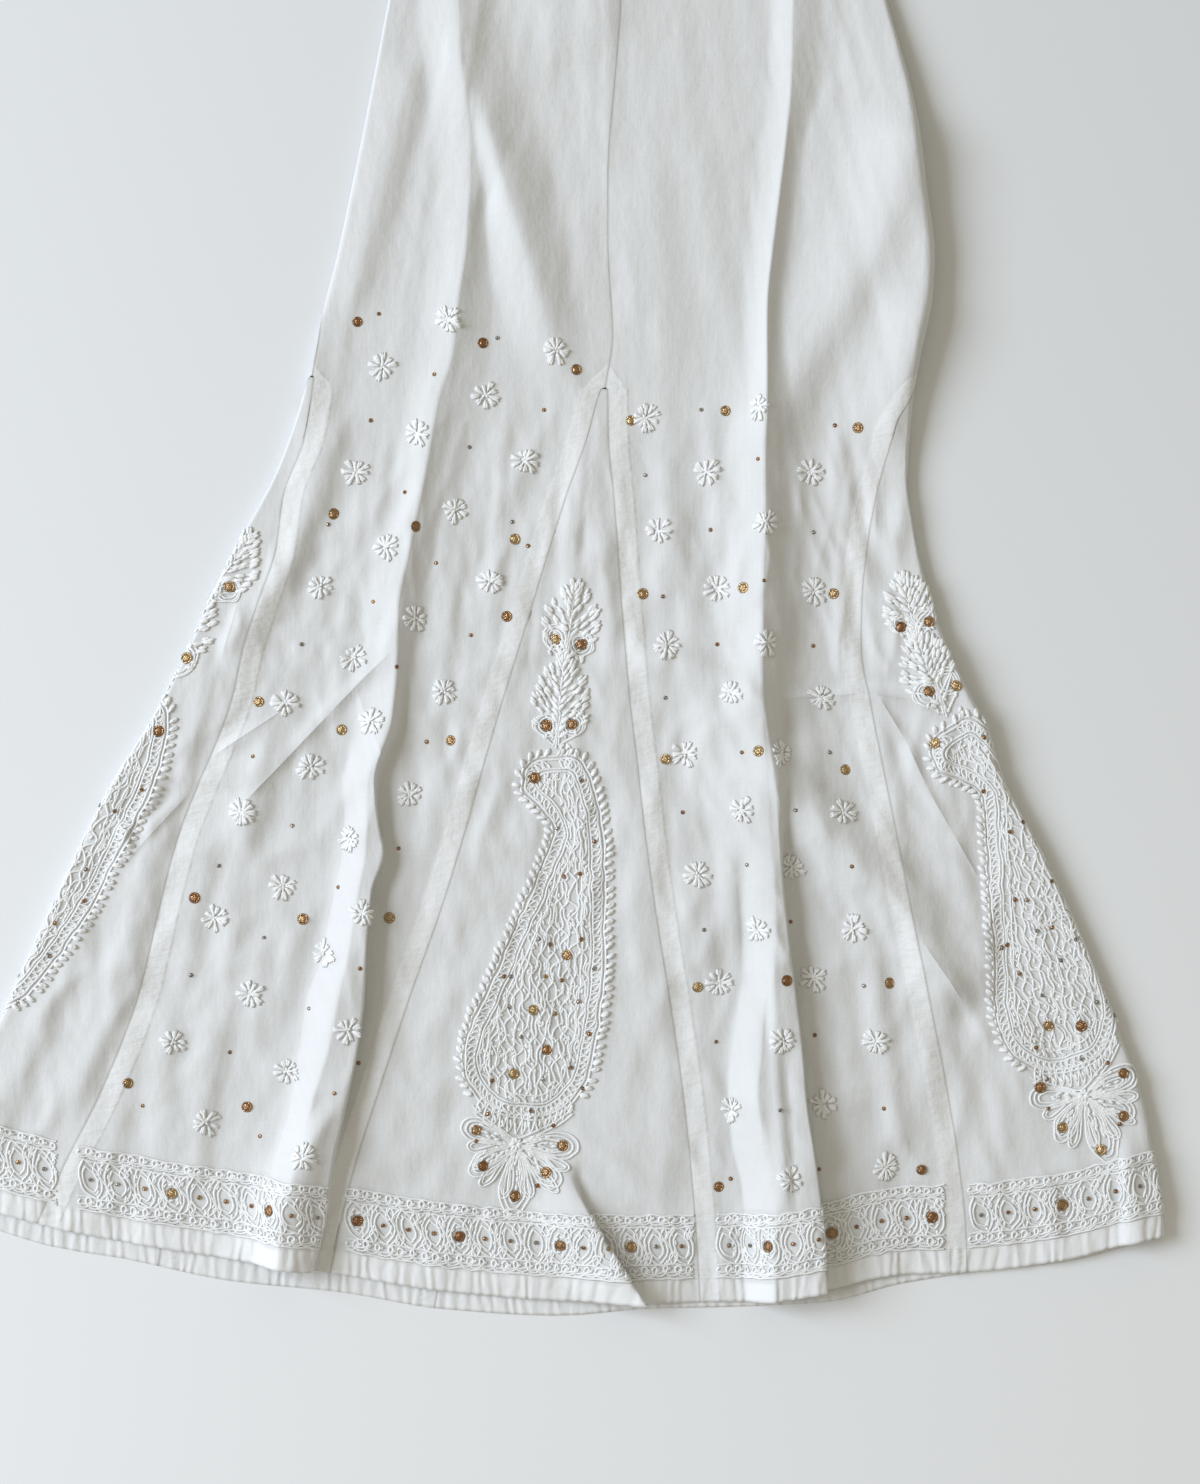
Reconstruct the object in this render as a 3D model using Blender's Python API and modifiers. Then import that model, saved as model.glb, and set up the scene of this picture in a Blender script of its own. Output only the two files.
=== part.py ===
"""A long white skirt with four godets, laid flat on a table, face up. Metres, +Z up.

Every cloth piece is a grid laid on one shared surface and given a wall with Solidify.
The surface is a flattened tube: u runs round it and drop runs down it from the waist.
Across the front u is the plan X; past an edge roll it goes on round to the underside.
"""

import math
from collections import namedtuple
from types import SimpleNamespace

import bmesh
import bpy
import numpy as np

MM = 0.001

# Driving dimensions, in millimetres
WALL = 1.2                # the cotton of every panel and godet
SEAM_GAP = 0.3            # free space between two sewn pieces
HALF_GAP = SEAM_GAP / 2
BAND_DROP = 35.0          # height of the elastic waistband
BAND_WALL = 2.4           # the band is folded double over its elastic
APEX_SHARE = 0.352        # how far down the cloth the godets start
APEX_DROP = 355.0         # drop at which a side godet's seams leave the side seam
TIP_WIDTH = 4.0           # width at which a godet's point ends
INSIDE_ROOM = 1.8         # clear height between the two layers where they lie flat
BORDER_TOP = 68.0         # height of the embroidered border's upper edge over the hem
BORDER_BOTTOM = 25.0      # and of its lower edge
BORDER_RELIEF = 0.8       # how far the border's thread stands out
HEM_RELIEF = 0.5          # the turned-up hem under the border
MOTIF_RELIEF = 1.0        # the paisley embroidery on each godet
RELIEF_EDGE = 2.5         # how fast a relief rises
ROLL_SHARE = 0.55         # an edge roll's depth against its height
SIDE_SEAM_TURN = 0.62     # where the side seam sits on the upper half of the edge roll
GODET_JOIN = 45.0         # drop in which a side godet's seams leave the side seam
GATHER_PITCH = 18.0       # one gather of the elastic waistband
GATHER_DEPTH = 1.1

# Plan outline: left and right edge at each drop, measured from the centre seam
Outline = namedtuple("Outline", "drop left right left_lift right_lift")
OUTLINE = [
    Outline(0, -150, 187, 2, 3),
    Outline(79, -165, 209, 2, 7),
    Outline(163, -181, 231, 2, 14),
    Outline(217, -192, 238, 2, 17),
    Outline(273, -204, 244.5, 2, 19),
    Outline(300, -211, 243, 2, 18),
    Outline(346, -223, 229.5, 3, 13),
    Outline(379, -230, 223.5, 3, 8),
    Outline(435, -250, 224, 3, 6),
    Outline(476, -272, 230, 4, 6),
    Outline(529, -298, 242, 4, 8),
    Outline(574, -319, 259, 4, 10),
    Outline(621, -343, 282, 4, 11),
    Outline(664, -370, 296, 4, 10),
    Outline(721, -399, 326, 4, 9),
    Outline(829, -449, 374, 4, 8),
    Outline(910, -487, 404, 4, 8),
    Outline(952, -505, 414, 4, 9),
    Outline(980, -512, 420, 4, 10),
    Outline(1080, -514, 426, 4, 10),
]

# Hem drop of the upper and the lower layer at each X
Hem = namedtuple("Hem", "x front back")
HEM = [
    Hem(-520, 972, 975),
    Hem(-456, 989, 1003),
    Hem(-410, 1001, 1016),
    Hem(-370, 1009, 1022),
    Hem(-283, 1023, 1040),
    Hem(-204, 1034, 1048),
    Hem(-124, 1047, 1061),
    Hem(-38, 1054, 1066),
    Hem(27, 1056, 1061),
    Hem(102, 1055, 1059),
    Hem(163, 1046, 1056),
    Hem(219, 1035, 1042),
    Hem(271, 1033, 1034),
    Hem(342, 1024, 1026),
    Hem(390, 1011, 1014),
    Hem(426, 1003, 1004),
]

# Seams of the upper layer below the godets' points, X at each drop
FrontSeams = namedtuple("FrontSeams", "drop left_godet centre_left centre_right right_godet")
FRONT_SEAMS = [
    FrontSeams(369, -224, -2, -2, 224),
    FrontSeams(408, -231, -14.5, -1, 212.5),
    FrontSeams(451, -245, -30, 3, 202),
    FrontSeams(492, -250.5, -43, 6, 195.5),
    FrontSeams(528, -262.5, -54, 8.5, 192),
    FrontSeams(564, -274.5, -65, 11.5, 191.5),
    FrontSeams(604, -283.5, -77.5, 15, 198),
    FrontSeams(650, -301.5, -91, 20.5, 207),
    FrontSeams(700, -322, -105, 26, 217),
    FrontSeams(760, -338, -123.5, 34, 228),
    FrontSeams(826, -354, -147, 44.5, 242),
    FrontSeams(896, -381, -170, 54.5, 256),
    FrontSeams(952, -409, -188, 60.5, 265),
    FrontSeams(1000, -431, -200, 64.5, 270),
    FrontSeams(1060, -450, -212, 68, 272),
]

# Centre front seam above the godet
CentreSeam = namedtuple("CentreSeam", "drop x")
CENTRE_SEAM = [
    CentreSeam(0, 10),
    CentreSeam(79, 9.5),
    CentreSeam(129, 6),
    CentreSeam(212, 0),
    CentreSeam(262, 0),
    CentreSeam(330, 3.5),
    CentreSeam(369, -2),
]

# Seams of the lower layer, X at each drop
BackSeams = namedtuple("BackSeams", "drop left_godet centre_left centre_right right_godet")
BACK_SEAMS = [
    BackSeams(369, -226, -2, 2, 223),
    BackSeams(700, -300, -64, 64, 268),
    BackSeams(1080, -345, -134, 134, 318),
]

# The large folds of the upper layer: edge is where the crest shows from above, band the
# width of its flat top, rise and fall the widths of its left and right flanks, lean how
# far the crest hangs over for each millimetre of height, and crisp 1 for a pressed crest
Fold = namedtuple("Fold", "drop edge height band rise fall lean crisp")
LEFT_FOLD = [
    Fold(20, -112, 2, 0, 45, 30, 0, 0),
    Fold(110, -104, 6, 0, 45, 26, 0, 0),
    Fold(163, -97, 10, 0, 50, 22, 0, 0.3),
    Fold(262, -117, 12, 0, 55, 22, 0, 0.5),
    Fold(373, -129, 12, 0, 55, 20, 0, 0.6),
    Fold(492, -152, 13, 0, 50, 18, 0, 0.6),
    Fold(575, -162, 14, 0, 40, 14, 0.3, 0.5),
    Fold(662, -177, 13, 6, 24, 14, 0.5, 0.3),
    Fold(749, -183, 12, 10, 22, 12, 0.7, 0.2),
    Fold(844, -184, 12, 22, 20, 10, 0.9, 0.1),
    Fold(917, -199, 12, 26, 18, 9, 1.0, 0),
    Fold(982, -212, 12, 26, 16, 9, 1.1, 0),
    Fold(1060, -228, 12, 26, 14, 9, 1.1, 0),
]
RIGHT_FOLD = [
    Fold(0, 146, 7, 0, 60, 18, 0, 0.4),
    Fold(79, 137, 9, 0, 55, 16, 0, 0.8),
    Fold(196, 130.5, 11, 0, 45, 16, 0, 0.9),
    Fold(313, 119, 12, 0, 40, 14, 0, 1),
    Fold(460, 114, 12, 0, 38, 14, 0.1, 1),
    Fold(592, 112, 12, 0, 36, 14, 0.3, 0.8),
    Fold(640, 118, 11, 0, 40, 14, 0.3, 0.5),
    Fold(716, 127, 12, 6, 36, 12, 0.5, 0.4),
    Fold(811, 136.5, 13, 14, 34, 11, 0.8, 0.2),
    Fold(927, 152, 13, 30, 24, 10, 1.0, 0),
    Fold(1009, 160, 13, 40, 14, 10, 1.0, 0),
    Fold(1060, 164, 13, 42, 12, 10, 1.0, 0),
]
CENTRE_FOLD = [
    Fold(940, -38, 0.2, 0, 20, 20, 0, 0),
    Fold(962, -28, 4, 0, 50, 12, 0.6, 0),
    Fold(990, -11, 7, 0, 60, 10, 1.1, 0),
    Fold(1031, 13, 8, 0, 70, 10, 1.3, 0),
    Fold(1062, 30, 8, 0, 75, 10, 1.3, 0),
]

# Lesser soft ridges (+) and troughs (-) of the upper layer, end to end
Crease = namedtuple("Crease", "x1 drop1 x2 drop2 height reach")
CREASES = [
    Crease(-100, 150, -55, 262, 6, 17),
    Crease(-55, 262, -33, 335, 4, 15),
    Crease(-45, 20, -38, 150, 3, 16),
    Crease(-130, 20, -150, 200, 2.5, 14),
    Crease(132, 345, 212, 195, 6, 17),
    Crease(168, 362, 236, 285, 7, 17),
    Crease(150, 300, 190, 200, -2, 12),
    Crease(28, 560, 104, 592, -2, 14),
    Crease(124, 600, 215, 598, 2, 7),
    Crease(150, 460, 146, 590, -1.5, 14),
    Crease(-163, 559, -262, 672, 4, 9),
    Crease(-262, 636, -300, 652, 2, 8),
    Crease(-210, 262, -206, 520, -1, 20),
    Crease(35, 760, 44, 960, 3, 18),
    Crease(188, 700, 205, 940, 3.5, 18),
    Crease(205, 600, 292, 872, 4, 12),
    Crease(-330, 700, -405, 900, 4, 20),
    Crease(-376, 852, -400, 960, 3, 10),
    Crease(-300, 780, -330, 980, 2.5, 18),
    Crease(-250, 800, -262, 990, 2, 16),
    Crease(-60, 430, -75, 560, 1.5, 12),
    Crease(330, 985, 392, 960, 3, 14),
]

# The paisley with its two leaf sprays and its foot, left and right edge at each drop
Motif = namedtuple("Motif", "drop left right")
CENTRE_MOTIF = [
    Motif(512, -27, -21),
    Motif(532, -46, -5),
    Motif(556, -50, -6),
    Motif(572, -46, -17),
    Motif(600, -60, -13),
    Motif(630, -57, -19),
    Motif(641, -46, -27),
    Motif(664, -69, -10),
    Motif(685, -60, -3),
    Motif(703, -47, 2),
    Motif(749, -62, 1),
    Motif(816, -92, 0),
    Motif(862, -111, -4),
    Motif(895, -114, -8),
    Motif(921, -104, -23),
    Motif(945, -112, -28),
    Motif(967, -104, -34),
    Motif(986, -76, -62),
]
RIGHT_MOTIF = [
    Motif(509, 219, 224),
    Motif(530, 201, 248),
    Motif(556, 208, 262),
    Motif(587, 215, 276),
    Motif(612, 228, 286),
    Motif(633, 231, 300),
    Motif(654, 242, 325),
    Motif(671, 266, 345),
    Motif(688, 274, 362),
    Motif(772, 282, 392),
    Motif(837, 288, 404),
    Motif(892, 312, 416),
    Motif(930, 334, 410),
    Motif(950, 366, 376),
]
LEFT_MOTIF = [
    Motif(495, -262, -260),
    Motif(515, -330, -264),
    Motif(551, -352, -289),
    Motif(567, -360, -310),
    Motif(604, -380, -323),
    Motif(627, -400, -325),
    Motif(664, -440, -341),
    Motif(727, -470, -365),
    Motif(784, -500, -394),
    Motif(833, -530, -428),
    Motif(880, -550, -462),
    Motif(920, -560, -486),
    Motif(945, -560, -505),
]

# Rows of every grid: shares of the way down to the border, then heights over the hem
UPPER_SHARES = [0, 0.03, 0.07, 0.11, 0.15, 0.195, 0.24, 0.28, 0.32,
                APEX_SHARE - 0.003, APEX_SHARE]
LOWER_ROWS = 26
HEM_HEIGHTS = [BORDER_TOP, BORDER_TOP - RELIEF_EDGE, 46.5, BORDER_BOTTOM + RELIEF_EDGE,
               BORDER_BOTTOM, BORDER_BOTTOM - RELIEF_EDGE, 12.0, 0.0]
APEX_ROW = UPPER_SHARES.index(APEX_SHARE)

WHITE_COTTON = (0.86, 0.86, 0.84, 1)
BAND_COTTON = (0.84, 0.84, 0.82, 1)


def curve(rows, name, key):
    """One column of a table as a smooth curve with no overshoot."""
    xs = np.array([getattr(row, key) for row in rows], float)
    ys = np.array([getattr(row, name) for row in rows], float)
    steps = np.diff(xs)
    slopes = np.diff(ys) / steps
    product = slopes[1:] * slopes[:-1]
    total = slopes[1:] + slopes[:-1]
    inner = np.where(product > 0, 2 * product / np.where(product > 0, total, 1), 0)
    tangents = np.concatenate([slopes[:1], inner, slopes[-1:]])

    def at(where):
        where = np.clip(np.asarray(where, float), xs[0], xs[-1])
        i = np.clip(np.searchsorted(xs, where) - 1, 0, len(steps) - 1)
        t = (where - xs[i]) / steps[i]
        return (ys[i] * (1 + 2 * t) * (1 - t) ** 2 + ys[i + 1] * t * t * (3 - 2 * t)
                + tangents[i] * steps[i] * t * (1 - t) ** 2
                - tangents[i + 1] * steps[i] * t * t * (1 - t))
    return at


def curves(rows, key="drop"):
    """Every column of a table as a curve over its key column."""
    return SimpleNamespace(**{name: curve(rows, name, key)
                              for name in rows[0]._fields if name != key})


outline = curves(OUTLINE)
hem = curves(HEM, "x")
centre_seam = curves(CENTRE_SEAM)
front_seams = curves(FRONT_SEAMS)
back_seams = curves(BACK_SEAMS)
left_fold, right_fold, centre_fold = curves(LEFT_FOLD), curves(RIGHT_FOLD), curves(CENTRE_FOLD)
FOLD_STARTS = [(left_fold, LEFT_FOLD[0].drop), (right_fold, RIGHT_FOLD[0].drop),
               (centre_fold, CENTRE_FOLD[0].drop)]


def ease(t):
    t = np.clip(t, 0, 1)
    return t * t * (3 - 2 * t)


def crest(fold, drop):
    """The u of a fold's crest, which lean carries on to the fold's edge in plan."""
    return fold.edge(drop) - fold.lean(drop) * fold.height(drop)


def fold_shape(fold, first_drop, u, drop):
    """Height and sideways lean that one large fold gives the cloth at u, drop."""
    top, band, rise, fall, crisp = (
        crest(fold, drop), fold.band(drop), fold.rise(drop), fold.fall(drop), fold.crisp(drop))
    up = np.clip((u - (top - band - rise)) / rise, 0, 1)
    down = np.clip(1 - (u - top) / fall, 0, 1)
    up = (1 - crisp) * ease(up) + crisp * up ** 2
    down = (1 - crisp) * ease(down) + crisp * down ** 2
    height = fold.height(drop) * up * down * ease((drop - first_drop) / 40 + 0.5)
    return height, fold.lean(drop) * height


def crease_height(u, drop):
    total = np.zeros(np.broadcast(u, drop).shape)
    for crease in CREASES:
        along = np.array([crease.x2 - crease.x1, crease.drop2 - crease.drop1])
        length = np.hypot(*along)
        across = ((u - crease.x1) * along[1] - (drop - crease.drop1) * along[0]) / length
        share = ((u - crease.x1) * along[0] + (drop - crease.drop1) * along[1]) / length ** 2
        ends = ease(share / 0.25 + 0.5) * ease((1 - share) / 0.25 + 0.5)
        total += crease.height * ends * np.exp(-(across / crease.reach) ** 2)
    return total


def lay_height(u, drop):
    """Height of the upper layer's inner side, and how far it leans to the right."""
    height = WALL + INSIDE_ROOM + np.zeros(np.broadcast(u, drop).shape)
    height += outline.left_lift(drop) * np.exp(-np.abs((u - outline.left(drop)) / 34) ** 1.5)
    height += outline.right_lift(drop) * np.exp(-np.abs((u - outline.right(drop)) / 48) ** 1.5)
    lean = np.zeros_like(height)
    for fold, first_drop in FOLD_STARTS:
        up, over = fold_shape(fold, first_drop, u, drop)
        height, lean = height + up, lean + over
    return np.maximum(height + crease_height(u, drop), WALL + 0.5 * INSIDE_ROOM), lean


SIGN = {"left": -1, "right": 1}


def roll(side, drop):
    """The edge roll of one side: its start, depth and length in u, and its top height."""
    inner_edge = getattr(outline, side)(drop) - SIGN[side] * WALL
    height, _ = lay_height(inner_edge, drop)
    depth = np.maximum(ROLL_SHARE * height, 2.0)
    start = inner_edge - SIGN[side] * depth
    top, _ = lay_height(start, drop)
    length = math.pi * np.sqrt((depth ** 2 + ((top - WALL) / 2) ** 2) / 2)
    return SimpleNamespace(start=start, depth=depth, length=length, top=top)


def roll_u(side, drop, share):
    """The u at a share of the way round an edge roll, 0 on top and 1 underneath."""
    edge = roll(side, drop)
    return edge.start + SIGN[side] * edge.length * share


def underside_u(side, x, drop):
    """The u of a point of the lower layer, counted on past that side's edge roll."""
    edge = roll(side, drop)
    return 2 * edge.start + SIGN[side] * edge.length - x


def inner_point(u, drop):
    """X and Z of the cloth's inner side, and how far it has turned under: 0, or up to 1."""
    height, lean = lay_height(u, drop)
    x, z, under = u + lean, height, np.zeros(height.shape)
    for side, sign in SIGN.items():
        edge = roll(side, drop)
        past = sign * (u - edge.start)
        turn = np.clip(past / edge.length, 0, 1)
        middle, half = (edge.top + WALL) / 2, (edge.top - WALL) / 2
        rolled_x = edge.start + sign * (edge.depth * np.sin(math.pi * turn)
                                        - np.maximum(past - edge.length, 0))
        x = np.where(turn > 0, rolled_x, x)
        z = np.where(turn > 0, middle + half * np.cos(math.pi * turn), z)
        under = np.maximum(under, turn)
    return x, z, under


def hem_drop(u, drop):
    """Hem of the layer that u is on."""
    x, _, under = inner_point(u, drop)
    return (1 - under) * hem.front(x) + under * hem.back(x)


Rows = namedtuple("Rows", "share over_hem below_apex")


def grid_rows():
    """The rows that all panels and godets share, so that their seams meet row for row."""
    lower = np.linspace(APEX_SHARE, 1, LOWER_ROWS + 1)[1:]
    share = np.array([*UPPER_SHARES, *lower, *(1.0 for _ in HEM_HEIGHTS)])
    over_hem = np.array([*(BORDER_TOP + RELIEF_EDGE for _ in (*UPPER_SHARES, *lower)),
                         *HEM_HEIGHTS])
    return Rows(share, over_hem, np.arange(len(share)) >= APEX_ROW)


def row_drop(rows, u, drop):
    top = BAND_DROP + SEAM_GAP
    share = rows.share.reshape(-1, *(1 for _ in u.shape[1:]))
    over_hem = rows.over_hem.reshape(share.shape)
    return top + (hem_drop(u, drop) - over_hem - top) * share


def on_line(line, rows):
    """Where a seam line crosses each row."""
    drop = BAND_DROP + 930 * rows.share
    for _ in range(10):
        u = line(drop, rows.below_apex)
        drop = row_drop(rows, u, drop)
    return line(drop, rows.below_apex), drop


def centre_line(sign):
    """The centre seam, and below its end that side's seam of the front godet."""
    name = "centre_left" if sign < 0 else "centre_right"
    godet = getattr(front_seams, name)

    def line(drop, below_apex):
        split = godet(drop) + sign * TIP_WIDTH / 2
        return np.where(below_apex, split, centre_seam.x(drop)) + sign * HALF_GAP
    return line


def godet_line(sign):
    edge = centre_line(sign)
    return lambda drop, below_apex: edge(drop, below_apex) - sign * SEAM_GAP


def side_line(side, seams, away):
    """A side seam that below the godet's point becomes the godet's seam to a panel."""
    godet = getattr(seams, f"{side}_godet")
    outward = SIGN[side] * (-1 if seams is front_seams else 1)

    def line(drop, below_apex):
        seam = roll_u(side, drop, SIDE_SEAM_TURN)
        goal = godet(drop) if seams is front_seams else underside_u(side, godet(drop), drop)
        share = ease((drop - APEX_DROP) / GODET_JOIN)
        split = seam + outward * TIP_WIDTH / 2 + (goal - seam) * share
        return np.where(below_apex, split, seam) + outward * away
    return line


def back_centre_line(side, name, shift):
    godet = getattr(back_seams, name)

    def line(drop, below_apex):
        x = np.where(below_apex, godet(drop), 0)
        return underside_u(side, x, drop) + shift
    return line


def motif_share(motif, u, drop):
    """1 inside an embroidered motif and 0 outside, with a short slope between."""
    if motif is None:
        return np.zeros(u.shape)
    edges = curves(motif)
    inside = np.minimum(u - edges.left(drop), edges.right(drop) - u) / RELIEF_EDGE + 0.5
    ends = np.minimum(drop - motif[0].drop, motif[-1].drop - drop) / (2 * RELIEF_EDGE) + 0.5
    return ease(inside) * ease(ends)


def wall_thickness(u, drop, motif):
    """The wall with its raised border, hem and motif on top, and flat underneath."""
    _, _, under = inner_point(u, drop)
    over_hem = hem_drop(u, drop) - drop
    border = (ease((BORDER_TOP - over_hem) / RELIEF_EDGE)
              * ease((over_hem - BORDER_BOTTOM) / RELIEF_EDGE))
    turn_up = ease((BORDER_BOTTOM - over_hem) / RELIEF_EDGE)
    relief = (BORDER_RELIEF * border + HEM_RELIEF * turn_up
              + MOTIF_RELIEF * motif_share(motif, u, drop))
    return WALL + relief * ease(1.4 - 2 * under)


def grid_points(piece, rows):
    """u and drop of each grid point, its columns following the piece's guides."""
    start, start_drop = on_line(piece.left, rows)
    end, end_drop = on_line(piece.right, rows)
    middle = (start_drop + end_drop) / 2
    least = np.minimum(1.5, (end - start) / (1.2 * sum(piece.segments)))
    anchors, before, total = [start], 0, sum(piece.segments)
    for guide, count in zip(piece.guides, piece.segments):
        before += count
        low = anchors[-1] + least * count
        high = end - least * (total - before)
        anchors.append(np.clip(guide(middle), low, high))
    anchors.append(end)
    columns = [start]
    for here, there, count in zip(anchors, anchors[1:], piece.segments):
        columns += [here + (there - here) * (k + 1) / count for k in range(count)]
    u = np.stack(columns, axis=1)
    share = (u - start[:, None]) / (end - start)[:, None]
    drop = start_drop[:, None] + (end_drop - start_drop)[:, None] * share
    for _ in range(8):
        drop = row_drop(rows, u, drop)
    drop[:, 0], drop[:, -1] = start_drop, end_drop
    return u, drop


def fold_guides(fold):
    return [lambda drop: crest(fold, drop) - fold.band(drop) - fold.rise(drop),
            lambda drop: crest(fold, drop) - fold.band(drop),
            lambda drop: crest(fold, drop),
            lambda drop: crest(fold, drop) + fold.fall(drop)]


def motif_guides(motif, name):
    edge = getattr(curves(motif), name)
    return [lambda drop: edge(drop) - RELIEF_EDGE / 2, lambda drop: edge(drop) + RELIEF_EDGE / 2]


def roll_guides(side):
    """The start, the middle and the end of an edge roll, in the order of u."""
    shares = (0, 0.5, 1) if side == "right" else (1, 0.5, 0)
    return [lambda drop, share=share: roll_u(side, drop, share) for share in shares]


Piece = namedtuple("Piece", "name left right first_row guides segments motif")
PIECES = [
    Piece("front_left_panel", side_line("left", front_seams, HALF_GAP), centre_line(-1),
          0, fold_guides(left_fold), [4, 3, 2, 3, 4], None),
    Piece("front_right_panel", centre_line(1), side_line("right", front_seams, HALF_GAP),
          0, fold_guides(right_fold), [4, 3, 2, 3, 5], None),
    Piece("front_godet", godet_line(-1), godet_line(1), APEX_ROW,
          motif_guides(CENTRE_MOTIF, "left") + motif_guides(CENTRE_MOTIF, "right"),
          [3, 1, 4, 1, 3], CENTRE_MOTIF),
    Piece("left_godet", side_line("left", back_seams, -HALF_GAP),
          side_line("left", front_seams, -HALF_GAP), APEX_ROW,
          roll_guides("left") + motif_guides(LEFT_MOTIF, "right"),
          [2, 2, 2, 3, 1, 3], LEFT_MOTIF),
    Piece("right_godet", side_line("right", front_seams, -HALF_GAP),
          side_line("right", back_seams, -HALF_GAP), APEX_ROW,
          motif_guides(RIGHT_MOTIF, "left") + roll_guides("right"),
          [2, 1, 5, 2, 2, 2], RIGHT_MOTIF),
    Piece("back_left_panel", back_centre_line("left", "centre_left", HALF_GAP),
          side_line("left", back_seams, HALF_GAP), 0, [], [5], None),
    Piece("back_right_panel", side_line("right", back_seams, HALF_GAP),
          back_centre_line("right", "centre_right", -HALF_GAP), 0, [], [5], None),
    Piece("back_godet", back_centre_line("right", "centre_right", HALF_GAP),
          back_centre_line("right", "centre_left", -HALF_GAP), APEX_ROW, [], [3], None),
]


def material(name, colour, roughness):
    made = bpy.data.materials.new(name)
    made.use_nodes = True
    shader = made.node_tree.nodes["Principled BSDF"]
    shader.inputs["Base Color"].default_value = colour
    shader.inputs["Roughness"].default_value = roughness
    shader.inputs["Metallic"].default_value = 0
    return made


def cloth_object(name, collection, points, wall, finish):
    """A grid laid on the given points, with a wall outwards from its inner side."""
    rows, columns, _ = points.shape
    grid = bmesh.new()
    bmesh.ops.create_grid(grid, x_segments=columns - 1, y_segments=rows - 1, size=1)
    mesh = bpy.data.meshes.new(name)
    weights = {}
    for vertex in grid.verts:
        i = round((vertex.co.x + 1) / 2 * (columns - 1))
        j = rows - 1 - round((vertex.co.y + 1) / 2 * (rows - 1))
        vertex.co = points[j, i] * MM
        weights[vertex.index] = wall[j, i] / wall.max()
    grid.to_mesh(mesh)
    grid.free()
    mesh.shade_smooth()
    mesh.materials.append(finish)
    cloth = bpy.data.objects.new(name, mesh)
    collection.objects.link(cloth)
    group = cloth.vertex_groups.new(name="wall")
    for index, weight in weights.items():
        group.add([index], weight, "REPLACE")
    solidify = cloth.modifiers.new("Wall", "SOLIDIFY")
    solidify.thickness = wall.max() * MM
    solidify.offset = 1
    solidify.vertex_group = group.name
    return cloth


def cloth_pieces(collection, finish):
    rows = grid_rows()
    for piece in PIECES:
        own_rows = Rows(*(values[piece.first_row:] for values in rows))
        u, drop = grid_points(piece, own_rows)
        x, z, _ = inner_point(u, drop)
        points = np.stack([x, -drop, z], axis=2)
        cloth_object(piece.name, collection, points, wall_thickness(u, drop, piece.motif), finish)


def waistband(collection, finish):
    """The band's front and back, gathered by its elastic and joined at the side seams."""
    drops = np.array([0, 4, BAND_DROP - 4, BAND_DROP])
    right_seam = roll_u("right", drops, SIDE_SEAM_TURN)
    left_seam = roll_u("left", drops, SIDE_SEAM_TURN)
    left_start = underside_u("right", roll("left", drops).start, drops)
    spans = {
        "waistband_front": (left_seam + HALF_GAP, right_seam - HALF_GAP, 72),
        "waistband_back": (right_seam + HALF_GAP, left_start, 14),
    }
    for name, (start, end, columns) in spans.items():
        share = np.linspace(0, 1, columns)
        u = start[:, None] + (end - start)[:, None] * share
        drop = np.repeat(drops[:, None], columns, axis=1)
        x, z, _ = inner_point(u, drop)
        if name == "waistband_front":
            away = np.minimum(x - outline.left(drop), outline.right(drop) - x)
            gathers = np.cos(2 * math.pi * x / GATHER_PITCH)
            z = z + GATHER_DEPTH * gathers * ease((away - 25) / 25)
        points = np.stack([x, -drop, z + BAND_WALL - WALL], axis=2)
        cloth_object(name, collection, points, np.full(x.shape, BAND_WALL), finish)


def centre_on_origin(collection):
    """Puts the middle of the whole skirt's box at X 0, Y 0."""
    bpy.context.view_layer.update()
    graph = bpy.context.evaluated_depsgraph_get()
    corners = np.array([tuple(corner) for cloth in collection.objects
                        for corner in cloth.evaluated_get(graph).bound_box])
    middle = (corners.min(axis=0) + corners.max(axis=0)) / 2
    for cloth in collection.objects:
        cloth.location = (-middle[0], -middle[1], 0)


def main():
    for obj in list(bpy.data.objects):
        bpy.data.objects.remove(obj)
    skirt = bpy.data.collections.new("godet_skirt")
    bpy.context.scene.collection.children.link(skirt)
    cloth_pieces(skirt, material("white_cotton", WHITE_COTTON, 0.85))
    waistband(skirt, material("waistband_cotton", BAND_COTTON, 0.85))
    centre_on_origin(skirt)


main()
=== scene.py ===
import math
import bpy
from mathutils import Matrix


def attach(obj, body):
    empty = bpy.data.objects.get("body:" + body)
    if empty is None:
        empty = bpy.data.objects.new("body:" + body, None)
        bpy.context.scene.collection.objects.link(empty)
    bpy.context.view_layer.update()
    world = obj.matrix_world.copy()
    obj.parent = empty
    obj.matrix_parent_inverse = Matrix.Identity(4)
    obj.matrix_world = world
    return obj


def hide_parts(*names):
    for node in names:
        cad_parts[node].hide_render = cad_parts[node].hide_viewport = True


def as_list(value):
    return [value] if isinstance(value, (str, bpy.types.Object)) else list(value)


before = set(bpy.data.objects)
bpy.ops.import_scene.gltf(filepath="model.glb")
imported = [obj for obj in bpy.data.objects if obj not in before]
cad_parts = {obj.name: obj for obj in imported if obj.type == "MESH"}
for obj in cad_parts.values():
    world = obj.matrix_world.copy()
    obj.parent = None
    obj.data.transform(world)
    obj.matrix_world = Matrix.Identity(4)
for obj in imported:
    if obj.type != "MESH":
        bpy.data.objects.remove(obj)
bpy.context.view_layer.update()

from types import SimpleNamespace

import bpy
import numpy as np

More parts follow.
